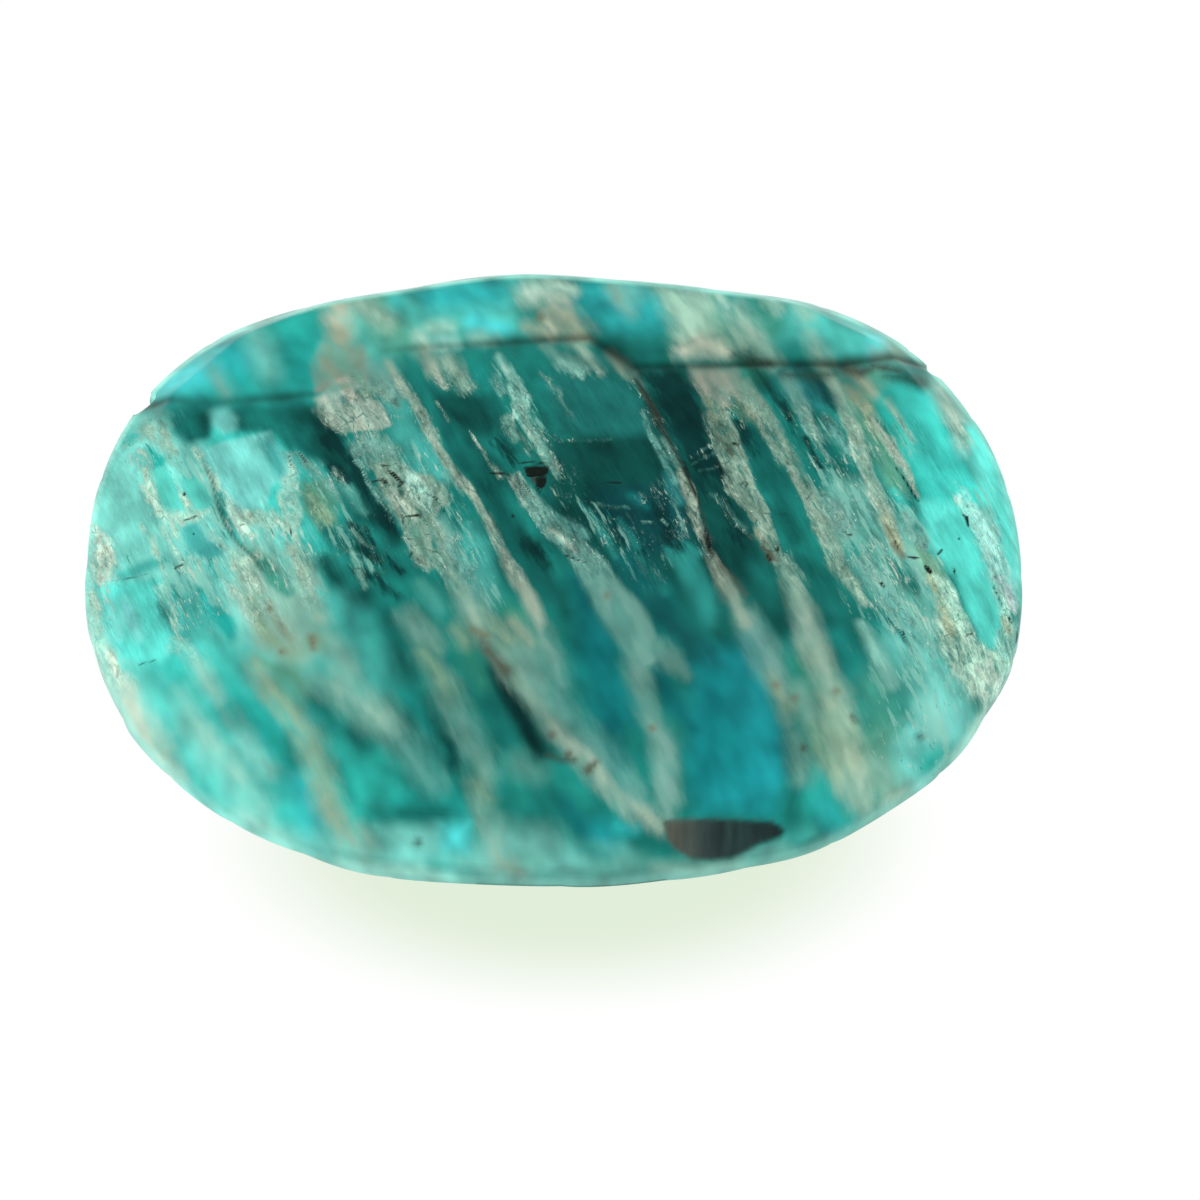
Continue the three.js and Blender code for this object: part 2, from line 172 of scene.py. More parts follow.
# ---- windows: where the teal is lighter, darker, bluer or greener ----
# name: pigment, softness of the edge, route. A route of (across, down, half width) is a stroke, and
# one of (across, down) is an outline.
WINDOWS = {
    "left field": ("turquoise", 40, [(60, 420), (320, 300), (330, 880), (60, 880)]),
    # painted glow: the left rim is drawn lighter, for the light through its thin edge
    "left rim": ("foam", 24, [(150, 430, 20), (110, 510, 28), (95, 590, 30), (110, 690, 30),
        (160, 770, 26)]),
    "left mint": ("foam", 14, [(120, 430), (200, 440), (300, 560), (330, 600), (300, 680), (200, 640),
        (110, 560)]),
    # painted shade: the teal is drawn darker just below the fracture
    "painted shadow under the fracture": ("pine", 6, [(160, 402), (318, 400), (345, 436), (335, 470), (300, 452),
        (287, 440), (272, 429), (240, 432), (214, 412), (208, 440), (186, 445), (172, 432)]),
    "deepest shadow under the fracture": ("bottle", 6, [(196, 406, 6), (204, 420, 8), (206, 432, 4)]),
    "mid shadow under the fracture": ("sea", 7, [(250, 420, 8), (285, 432, 6)]),
    # painted shadow below and left of the pale block
    "painted shadow under the block": ("bottle", 7, [(300, 404, 6), (322, 425, 10), (335, 440, 10), (338, 455, 8)]),
    "left crack pane": ("lagoon", 3, [(216, 478, 2), (221, 495, 4), (224, 512, 4), (231, 532, 3),
        (244, 548, 3), (256, 562, 3)]),
    "left dim": ("reef", 12, [(176, 596, 12), (190, 612, 18), (206, 634, 20), (228, 660, 14)]),
    "left middle bright": ("aqua", 10, [(202, 650, 5), (222, 668, 8), (240, 690, 8)]),
    "left rim notch": ("jade", 7, [(126, 442, 6), (138, 432, 5)]),
    "bright slip": ("ice", 4, [(213, 410), (226, 407), (236, 420), (236, 430), (224, 434), (214, 424)]),
    "notch pane": ("lagoon", 5, [(136, 450), (150, 447), (166, 458), (164, 472), (146, 472)]),
    "ice pane": ("ice", 3, [(200, 452), (219, 443), (268, 432), (276, 444), (288, 460), (288, 483),
        (273, 484), (264, 508), (233, 509), (222, 490), (212, 470)]),
    "ice pane corner": ("sea", 4, [(278, 430, 3), (287, 442, 5), (292, 452, 3)]),
    "ice pane dim": ("chip teal", 6, [(264, 444, 5), (274, 458, 8), (281, 476, 4)]),
    "cyan pane": ("sea glass", 3, [(151, 471), (164, 466), (176, 481), (181, 500), (184, 512), (168, 513),
        (158, 498)]),
    "cyan pane right": ("sea glass", 3, [(180, 478), (196, 474), (210, 492), (215, 512), (198, 514),
        (186, 498)]),
    "blue pane": ("chip teal", 3, [(181, 527), (197, 523), (205, 540), (219, 546), (223, 557), (205, 559),
        (188, 551)]),
    "cleft pane": ("aqua", 4, [(101, 586), (142, 582), (158, 578), (168, 600), (176, 640), (165, 662),
        (118, 660), (104, 625)]),
    "cleft pane left": ("ice", 8, [(108, 604, 6), (116, 620, 9), (118, 634, 6)]),
    "cleft pane rim": ("pale aqua", 6, [(126, 600, 4), (131, 616, 8), (140, 636, 5)]),
    "above the cleft": ("reef", 5, [(122, 576, 5), (142, 568, 6), (162, 561, 5)]),
    "below the blue chip": ("reef", 5, [(212, 562, 5), (219, 576, 5)]),
    "sliver one": ("reef", 4, [(158, 606, 3), (172, 626, 6), (184, 642, 4)]),
    "sliver two": ("lagoon", 5, [(200, 592, 4), (212, 608, 8), (226, 620, 9), (233, 634, 6)]),
    "mint ground": ("haze", 10, [(228, 548), (262, 545), (300, 590), (330, 640), (300, 660), (262, 640),
        (236, 600)]),
    "teal lens": ("fern lens", 4, [(250, 552, 3), (262, 564, 7), (274, 580, 8), (288, 592, 5)]),
    "right of the lens": ("haze", 8, [(294, 548, 7), (306, 565, 9), (314, 582, 6)]),
    "dark by the lens": ("bottle", 8, [(324, 560, 5), (336, 578, 8), (346, 596, 7), (366, 596, 8)]),
    "moss field": ("moss", 7, [(300, 482), (322, 480), (336, 500), (334, 530), (320, 530), (304, 510)]),
    "lower left": ("jade", 26, [(215, 690, 26), (260, 750, 34), (330, 800, 34)]),
    "low left rim": ("rim mint", 8, [(222, 798, 4), (250, 820, 8), (285, 840, 8)]),
    "low left field": ("turquoise", 14, [(240, 740, 8), (262, 768, 16), (290, 800, 16), (310, 824, 12)]),
    "top band left": ("lagoon", 12, [(225, 335), (330, 295), (330, 395), (150, 402), (170, 370)]),
    "top band left crest": ("jade", 8, [(245, 340, 8), (290, 324, 9), (322, 314, 6)]),
    "top band end glint": ("glint", 9, [(172, 386, 7), (190, 377, 12), (206, 368, 8)]),
    "top band left blue": ("surf", 10, [(215, 368, 12), (238, 354, 16)]),
    "top band left veil": ("mist", 9, [(252, 330, 8), (262, 352, 10), (270, 372, 7)]),
    "top band middle": ("sea glass", 12, [(330, 300), (520, 272), (524, 332), (440, 340), (330, 395)]),
    "top band dim": ("sea", 5, [(456, 352, 3), (480, 355, 5), (510, 352, 5), (540, 350, 5), (556, 352, 3)]),
    "top band green": ("moss", 12, [(372, 300, 14), (392, 330, 18), (408, 345, 10)]),
    "top band blue": ("surf", 8, [(402, 300, 10), (440, 296, 14), (495, 292, 14)]),
    "top band pale glint": ("mint", 5, [(430, 328, 4), (442, 327, 5), (450, 328, 4)]),
    "far pale slip": ("ice", 5, [(440, 338, 4), (452, 342, 5)]),
    "top band mint": ("sea glass", 6, [(402, 294, 4), (411, 303, 7), (419, 313, 4)]),
    "top band cyan glint": ("glint", 5, [(474, 320, 7), (488, 326, 7), (506, 328, 5)]),
    "top band centre": ("surf", 9, [(585, 295, 14), (615, 308, 24), (648, 312, 18)]),
    "top band centre pale": ("ice", 8, [(620, 290, 8), (632, 292, 8)]),
    "above fracture": ("pine", 7, [(604, 350, 9), (640, 352, 10), (672, 350, 8)]),
    "top band green lens": ("fern", 7, [(706, 306, 7), (716, 322, 9), (728, 338, 7)]),
    "top band right": ("reef", 14, [(735, 300, 14), (790, 325, 30), (850, 330, 26), (885, 348, 18)]),
    "top band right aqua": ("aqua", 14, [(800, 318, 8), (850, 335, 16), (880, 345, 12)]),
    "top band green blot": ("fern", 9, [(762, 305, 9), (774, 325, 11)]),
    "top band dark blot": ("sea", 8, [(788, 356, 12), (808, 356, 12)]),
    "top band cyan spot": ("glint", 6, [(875, 343, 6), (876, 352, 9)]),
    "saturated teal": ("lagoon", 12, [(214, 692, 10), (235, 706, 18), (262, 732, 22), (278, 758, 12)]),
    "left glow": ("pale aqua", 8, [(244, 740, 5), (254, 757, 7), (264, 772, 5)]),
    "saturated shade": ("fern", 6, [(276, 684, 5), (286, 696, 6), (296, 708, 5)]),
    "turquoise strip": ("aqua", 8, [(162, 702, 6), (182, 742, 8), (202, 777, 9), (226, 802, 8)]),
    "teal shade": ("sea", 8, [(285, 742, 7), (292, 768, 7)]),
    "cyan corner": ("surf", 9, [(298, 785, 9), (310, 810, 12), (318, 838, 10)]),
    "green lens": ("moss", 5, [(258, 660, 3), (274, 667, 7), (292, 674, 10), (304, 692, 7)]),
    "mid teal": ("pine", 10, [(316, 698, 9), (332, 724, 11)]),
    "turquoise field": ("reef", 14, [(335, 610, 18), (352, 645, 24), (375, 670, 18)]),
    "turquoise field haze": ("haze", 8, [(334, 648, 5), (342, 659, 7), (350, 670, 4)]),
    "teal by second band": ("reef", 8, [(378, 370, 8), (392, 400, 12), (405, 430, 14)]),
    "stripe ground": ("bottle", 7, [(318, 440, 8), (336, 462, 14), (354, 487, 12), (376, 514, 11),
        (396, 540, 7)]),
    "stripe ground low": ("pine", 8, [(330, 530, 7), (345, 545, 9), (362, 550, 9), (382, 560, 9),
        (400, 572, 6)]),
    "stripe ground foot": ("moss teal", 6, [(420, 584, 5), (430, 596, 7), (438, 608, 5)]),
    "flake ground": ("moss teal", 4, [(338, 476, 4), (348, 490, 7), (358, 506, 6), (366, 512, 3)]),
    "wedge between": ("sea", 5, [(404, 357, 6), (416, 375, 10), (428, 395, 9)]),
    "dark pane": ("bottle", 7, [(432, 392), (486, 396), (500, 420), (490, 440), (470, 430), (450, 420),
        (436, 408)]),
    "teal sliver": ("pine", 4, [(440, 414, 3), (447, 428, 7), (456, 446, 8), (468, 466, 7)]),
    "mid pane": ("pine", 7, [(470, 440, 6), (486, 462, 8), (500, 480, 8)]),
    "dark by fourth": ("pine", 6, [(490, 400, 6), (500, 425, 8), (510, 450, 6)]),
    "shade under the veil": ("lagoon", 5, [(472, 365, 4), (480, 374, 6), (488, 384, 4)]),
    "turquoise crumbs": ("reef", 6, [(400, 436), (428, 430), (448, 466), (446, 480), (414, 474),
        (404, 456)]),
    "turquoise between": ("reef", 7, [(468, 530, 8), (474, 548, 12), (484, 575, 12), (492, 600, 8)]),
    "turquoise between top": ("sea", 5, [(456, 500, 4), (464, 514, 6)]),
    "first band glow": ("haze teal", 9, [(440, 522, 4), (446, 536, 7), (453, 552, 6)]),
    "teal left of centre": ("pine", 8, [(478, 478, 6), (494, 500, 12), (508, 530, 14), (524, 560, 14),
        (536, 590, 10)]),
    "dark left of centre": ("bottle", 8, [(520, 532, 5), (530, 548, 8), (540, 566, 6)]),
    "middle field": ("bottle", 20, [(560, 400), (700, 380), (770, 560), (720, 620), (640, 600), (545, 540),
        (545, 450)]),
    "blue filaments": ("sea", 5, [(545, 405, 8), (556, 425, 10), (570, 440, 6)]),
    "upper middle": ("sea", 9, [(530, 355, 7), (545, 380, 9), (552, 400, 8)]),
    "upper middle right": ("upper teal", 10, [(556, 356), (606, 362), (640, 400), (656, 436), (560, 436),
        (548, 400)]),
    "upper middle step": ("bottle", 4, [(556, 440), (652, 440), (668, 478), (640, 484), (560, 484)]),
    "petrol pane": ("ink blue", 8, [(590, 486), (670, 486), (690, 530), (690, 556), (640, 556), (606, 530)]),
    "petrol foot": ("dusk", 10, [(628, 560, 10), (650, 590, 14), (668, 615, 12)]),
    "petrol glint": ("dusk", 5, [(632, 495, 3), (640, 500, 5), (648, 506, 3)]),
    "petrol low": ("dusk", 5, [(634, 548, 4), (642, 562, 5)]),
    "night foot": ("night", 8, [(652, 600, 6), (668, 618, 9), (686, 644, 8), (700, 668, 6)]),
    "dim blade one": ("dim lagoon", 2.5, [(582, 503, 1), (596, 520, 3), (608, 540, 4), (616, 556, 3)]),
    "dim blade two": ("dim lagoon", 2.5, [(618, 518, 1), (628, 532, 3), (640, 552, 4), (652, 574, 4),
        (664, 594, 2)]),
    "dark notch three": ("pine", 7, [(388, 612, 7), (398, 645, 8), (406, 672, 6)]),
    "green wink": ("fern", 6, [(505, 610, 7), (520, 616, 6)]),
    "green grey": ("smoke", 9, [(528, 650, 10), (536, 680, 13), (545, 700, 8)]),
    "dim blue": ("dim blue", 5, [(668, 472, 4), (674, 486, 7), (680, 500, 6)]),
    "dim blue foot": ("night", 6, [(680, 514, 5), (688, 530, 6)]),
    "turquoise blade": ("dull teal", 4, [(665, 545), (680, 547), (695, 554), (706, 570), (713, 590),
        (719, 610), (717, 626), (709, 628), (702, 618), (695, 605), (688, 590), (678, 570), (668, 556)]),
    "blade top": ("dull teal", 4, [(676, 541, 2), (688, 546, 4), (700, 553, 4)]),
    "pane right": ("pine", 5, [(736, 424), (760, 430), (776, 460), (781, 492), (762, 492), (750, 466)]),
    "pane right low": ("pine", 7, [(766, 466, 7), (778, 492, 9), (790, 520, 8), (798, 538, 5)]),
    "umber green": ("fern", 6, [(748, 366, 6), (762, 380, 6)]),
    "blue field": ("petrol", 10, [(578, 585, 12), (590, 620, 16), (600, 650, 16)]),
    "blue field low": ("deep blue", 11, [(595, 650, 15), (606, 690, 18), (618, 728, 20), (622, 756, 15)]),
    "dark left of the fourth": ("bottle", 7, [(547, 580, 5), (558, 596, 8), (566, 612, 5)]),
    "green foot": ("sea", 9, [(632, 740, 12), (645, 775, 12)]),
    # painted glow: the right rim is drawn lighter, for the light through its thin edge
    "right rim": ("aqua", 12, [(975, 450, 10), (996, 500, 14), (1010, 560, 10), (1016, 600, 5)]),
    "right blue pane": ("dim blue", 5, [(772, 372), (800, 368), (826, 384), (836, 404), (822, 410),
        (800, 404), (784, 392)]),
    "fracture end shade": ("moss", 6, [(872, 372, 4), (884, 378, 5)]),
    "dark stripe right": ("pine", 5, [(806, 408, 4), (818, 432, 6), (832, 458, 7), (848, 482, 5)]),
    "teal pocket": ("sea", 4, [(798, 440, 6), (810, 456, 9), (820, 470, 7)]),
    "green between": ("moss", 8, [(856, 400, 7), (872, 430, 10), (888, 460, 10), (900, 490, 8)]),
    "green slip right": ("jade", 5, [(880, 398, 5), (892, 420, 8), (906, 448, 8), (918, 475, 4)]),
    "green slip shade": ("fern lens", 5, [(896, 426, 4), (906, 444, 6)]),
    "right field": ("turquoise", 10, [(893, 374), (935, 385), (948, 430), (968, 470), (985, 500), (965, 520),
        (935, 505), (915, 470), (900, 430)]),
    "right field light": ("ice", 8, [(956, 440, 4), (963, 452, 5)]),
    # painted glow along the right rim
    "right rim band": ("aqua", 8, [(972, 430, 8), (988, 470, 10), (1000, 510, 9)]),
    # painted shadow beside the right fracture chip
    "painted shadow by right chip": ("pine", 6, [(905, 372, 5), (920, 380, 7)]),
    "crumbled field": ("crumb teal", 10, [(828, 476), (860, 478), (900, 520), (925, 560), (940, 620),
        (930, 660), (880, 610), (850, 560), (825, 520)]),
    "pocket shade": ("sea", 5, [(806, 452, 5), (815, 465, 7)]),
    "crumb light": ("turquoise", 5, [(895, 492, 4), (904, 506, 6), (912, 518, 4)]),
    "crumb dark one": ("sea", 5, [(895, 564, 4), (904, 576, 6), (914, 590, 4)]),
    "crumb dark four": ("sea", 5, [(844, 532, 3), (852, 545, 5), (860, 558, 3)]),
    "crumb dark two": ("moss teal", 6, [(888, 612, 4), (902, 632, 6), (916, 652, 5)]),
    "crumb dark three": ("sea", 5, [(848, 588, 4), (860, 606, 6), (872, 622, 4)]),
    "crumb shade low": ("lagoon", 8, [(888, 622, 8), (902, 636, 10)]),
    "tongue top": ("aqua", 7, [(918, 498), (955, 505), (970, 520), (965, 560), (950, 572), (928, 548)]),
    "cyan tongue": ("tongue cyan", 3, [(947, 513), (967, 520), (978, 544), (988, 568), (995, 586),
        (1002, 617), (1004, 643), (994, 650), (986, 648), (978, 638), (971, 617), (960, 589), (950, 568),
        (940, 547), (935, 525)]),
    "ochre by tongue": ("lime", 6, [(916, 552, 6), (930, 566, 9), (940, 578, 6)]),
    # painted glow along the right rim
    "right rim cyan": ("aqua", 9, [(998, 490, 9), (1009, 530, 9), (1014, 570, 5)]),
    "dark low right": ("pine", 10, [(800, 565, 9), (818, 590, 13), (832, 620, 17), (850, 655, 16),
        (868, 685, 12)]),
    "dark low right light": ("lagoon", 7, [(836, 636, 5), (847, 654, 7), (858, 672, 5)]),
    "dark beside rust": ("bottle", 7, [(782, 590, 6), (786, 625, 6)]),
    "fern low right": ("fern", 9, [(800, 665, 7), (812, 695, 7)]),
    "low right shade": ("sea", 10, [(862, 705, 10), (872, 728, 12)]),
    "low right pale": ("foam", 14, [(892, 640, 8), (920, 665, 16), (945, 700, 22), (950, 728, 16)]),
    "low right aqua": ("ice", 9, [(905, 735, 8), (905, 762, 9), (914, 780, 8)]),
    "low right glow": ("ice", 8, [(928, 706, 9), (944, 722, 9)]),
    "low right edge": ("ice", 8, [(956, 704, 5), (963, 716, 7), (956, 730, 6)]),
    "low right fern": ("fern lens", 10, [(872, 684, 10), (882, 708, 14), (892, 740, 12), (900, 772, 10)]),
    "low right moss": ("haze", 8, [(800, 690, 4), (806, 702, 6), (811, 714, 4)]),
    "dark of the sixth": ("bottle", 7, [(744, 574, 4), (756, 592, 8), (768, 612, 7), (778, 632, 4)]),
    "low right dark spot": ("jade", 7, [(930, 752, 8), (925, 768, 7)]),
    "low right green": ("moss", 12, [(880, 745, 14), (890, 775, 12)]),
    "low right mint": ("ice", 8, [(902, 748, 6), (905, 764, 8), (910, 778, 6)]),
    "low right blue": ("surf", 10, [(815, 790, 9), (832, 805, 12), (838, 820, 10)]),
    "low right jade": ("jade", 9, [(800, 800, 10), (815, 782, 8), (850, 815, 8)]),
    "blue window": ("azure", 9, [(700, 650), (752, 642), (772, 700), (795, 760), (775, 815), (702, 812),
        (690, 740)]),
    "blue window core": ("deep blue", 10, [(716, 670, 14), (712, 730, 14), (706, 780, 14)]),
    "blue window foot": ("deep blue", 10, [(730, 736, 12), (740, 770, 12)]),
    "blue window head": ("night", 7, [(696, 640, 5), (706, 652, 7), (713, 664, 4)]),
    "dark beside blue": ("pine", 7, [(790, 735, 6), (796, 790, 7), (788, 815, 7)]),
    "fork stripe": ("petrol", 5, [(654, 662, 5), (664, 685, 8), (673, 702, 8), (683, 716, 8),
        (692, 728, 6)]),
    "low middle dark": ("pine", 9, [(550, 806, 8), (575, 815, 12), (600, 812, 10)]),
    "low middle blue": ("petrol", 6, [(560, 800, 5), (575, 820, 6), (588, 840, 5)]),
    "low middle teal": ("azure", 8, [(600, 832, 9), (612, 846, 9)]),
    "low middle bright": ("surf", 5, [(617, 826, 4), (634, 830, 4)]),
    "low left dark": ("lagoon", 10, [(404, 802, 6), (424, 806, 14), (455, 805, 12)]),
    "low left darker": ("pine", 7, [(402, 812, 5), (445, 812, 5)]),
    "low left teal": ("jade", 12, [(338, 765, 9), (358, 775, 14)]),
    "low left green": ("jade", 8, [(380, 758, 6), (391, 771, 8), (400, 786, 6)]),
    "low left pocket": ("sea", 7, [(334, 772, 5), (342, 784, 7), (350, 798, 5)]),
    "near bevel": ("foam", 9, [(290, 838, 5), (340, 848, 9), (420, 858, 13), (520, 864, 13),
        (620, 862, 11)]),
    "near bevel left": ("foam", 5, [(375, 826), (443, 826), (446, 866), (400, 862)]),
    "near bevel foot": ("rim mint", 5, [(340, 864, 3), (375, 869, 4), (410, 872, 4), (450, 876, 2)]),
    # painted highlight: a facet's reflection on the near bevel
    "near bevel highlight": ("highlight cyan", 6, [(440, 826), (468, 824), (468, 850), (444, 852)]),
    "near bevel middle": ("mist", 10, [(500, 835, 10), (525, 845, 14), (548, 840, 8)]),
    "near bevel grey": ("smoke", 9, [(600, 862, 8), (640, 866, 8)]),
    "under the skin": ("haze", 6, [(658, 868, 4), (700, 871, 6), (735, 865, 5)]),
    "beside the skin": ("mist", 6, [(745, 856, 5), (785, 847, 5)]),
    "low stripe one": ("pine", 6, [(424, 700, 4), (440, 726, 5), (448, 745, 7), (452, 765, 7)]),
    "notch light": ("lagoon", 6, [(408, 698, 4), (416, 714, 6), (425, 730, 4)]),
    "low stripe two": ("pine", 8, [(487, 690, 7), (499, 724, 7), (503, 745, 6)]),
    "low stripe three": ("ink", 6, [(490, 668, 5), (504, 682, 7), (512, 700, 9), (518, 715, 9),
        (526, 730, 9), (534, 742, 8), (542, 752, 6)]),
    "low stripe four": ("sea", 8, [(545, 765, 7), (548, 800, 7), (550, 826, 6)]),
    "low grey": ("smoke", 8, [(520, 765, 10), (535, 772, 8)]),
    "middle smoke": ("mist", 6, [(554, 706, 5), (562, 718, 6)]),
    "near bevel smoke": ("smoke", 6, [(520, 858, 5), (540, 864, 5)]),
    "near bevel dim": ("dim lagoon", 7, [(584, 848, 4), (595, 853, 6), (606, 856, 4)]),
    "near bevel reef": ("reef", 6, [(434, 862, 5), (448, 867, 5)]),
    "low right bevel": ("reef", 7, [(800, 836, 5), (812, 833, 6)]),
    "low right light": ("ice", 8, [(916, 732, 4), (926, 743, 5)]),
    "low right haze": ("haze", 8, [(877, 764, 5), (884, 776, 6)]),
    "left middle glow": ("aqua", 8, [(198, 684, 5), (206, 698, 6)]),
    "dark under mint": ("pine", 7, [(352, 732, 7), (363, 748, 7)]),
    "fern mid": ("fern", 7, [(462, 640, 6), (472, 662, 8), (482, 682, 6)]),
}

# ---- deeps: nearly black windows with frayed edges: softness, route ----
DEEPS = {
    "left stripe": (4, [(330, 440, 9), (345, 452, 7), (356, 470, 6), (366, 490, 6), (376, 506, 6),
        (386, 520, 6), (394, 532, 4)]),
    "left stripe shade": (5, [(352, 524, 3), (362, 534, 5), (370, 546, 4)]),
    "left stripe low": (5, [(360, 548, 3), (368, 556, 5), (376, 560, 2)]),
    "left stripe sliver": (2.5, [(384, 554, 1), (392, 562, 3), (402, 572, 2)]),
    "left stripe arm": (3, [(332, 464, 3), (340, 474, 4), (346, 482, 3)]),
    "right dark streak": (3, [(890, 620, 1.5), (901, 632, 2.5), (910, 646, 1.5)]),
    "left notch": (4, [(352, 568, 3), (376, 578, 4), (398, 596, 3)]),
    "above the pits": (4, [(496, 440, 4), (506, 452, 5), (514, 462, 3)]),
    "black sliver": (5, [(650, 498, 4), (662, 515, 7), (670, 535, 6), (680, 548, 3)]),
    "sliver low": (6, [(640, 552, 3), (655, 582, 3)]),
    "black pane": (5, [(634, 368), (684, 368), (692, 388), (702, 412), (708, 438), (716, 462), (722, 478),
        (706, 478), (692, 462), (680, 440), (664, 410), (650, 388)]),
    "black pane foot": (12, [(712, 480, 5), (726, 506, 6), (738, 534, 5)]),
    "first wedge": (5, [(756, 370, 4), (766, 384, 7), (777, 400, 7), (788, 416, 4)]),
    "between the heads": (5, [(738, 422, 2), (746, 436, 4), (756, 452, 4)]),
    "second wedge": (5, [(800, 366, 3), (814, 380, 7), (826, 394, 7), (838, 408, 4)]),
    "right wedge": (3, [(806, 438, 2), (813, 454, 4), (820, 467, 3)]),
    "left of the fourth band": (8, [(528, 540, 2), (536, 552, 3), (546, 566, 2)]),
    "low stripe": (5, [(492, 672, 3), (504, 684, 6), (512, 700, 7), (518, 715, 8), (526, 730, 8),
        (534, 742, 7), (542, 752, 5)]),
    "low left stripe": (7, [(436, 722, 3), (446, 742, 5), (452, 762, 5)]),
}

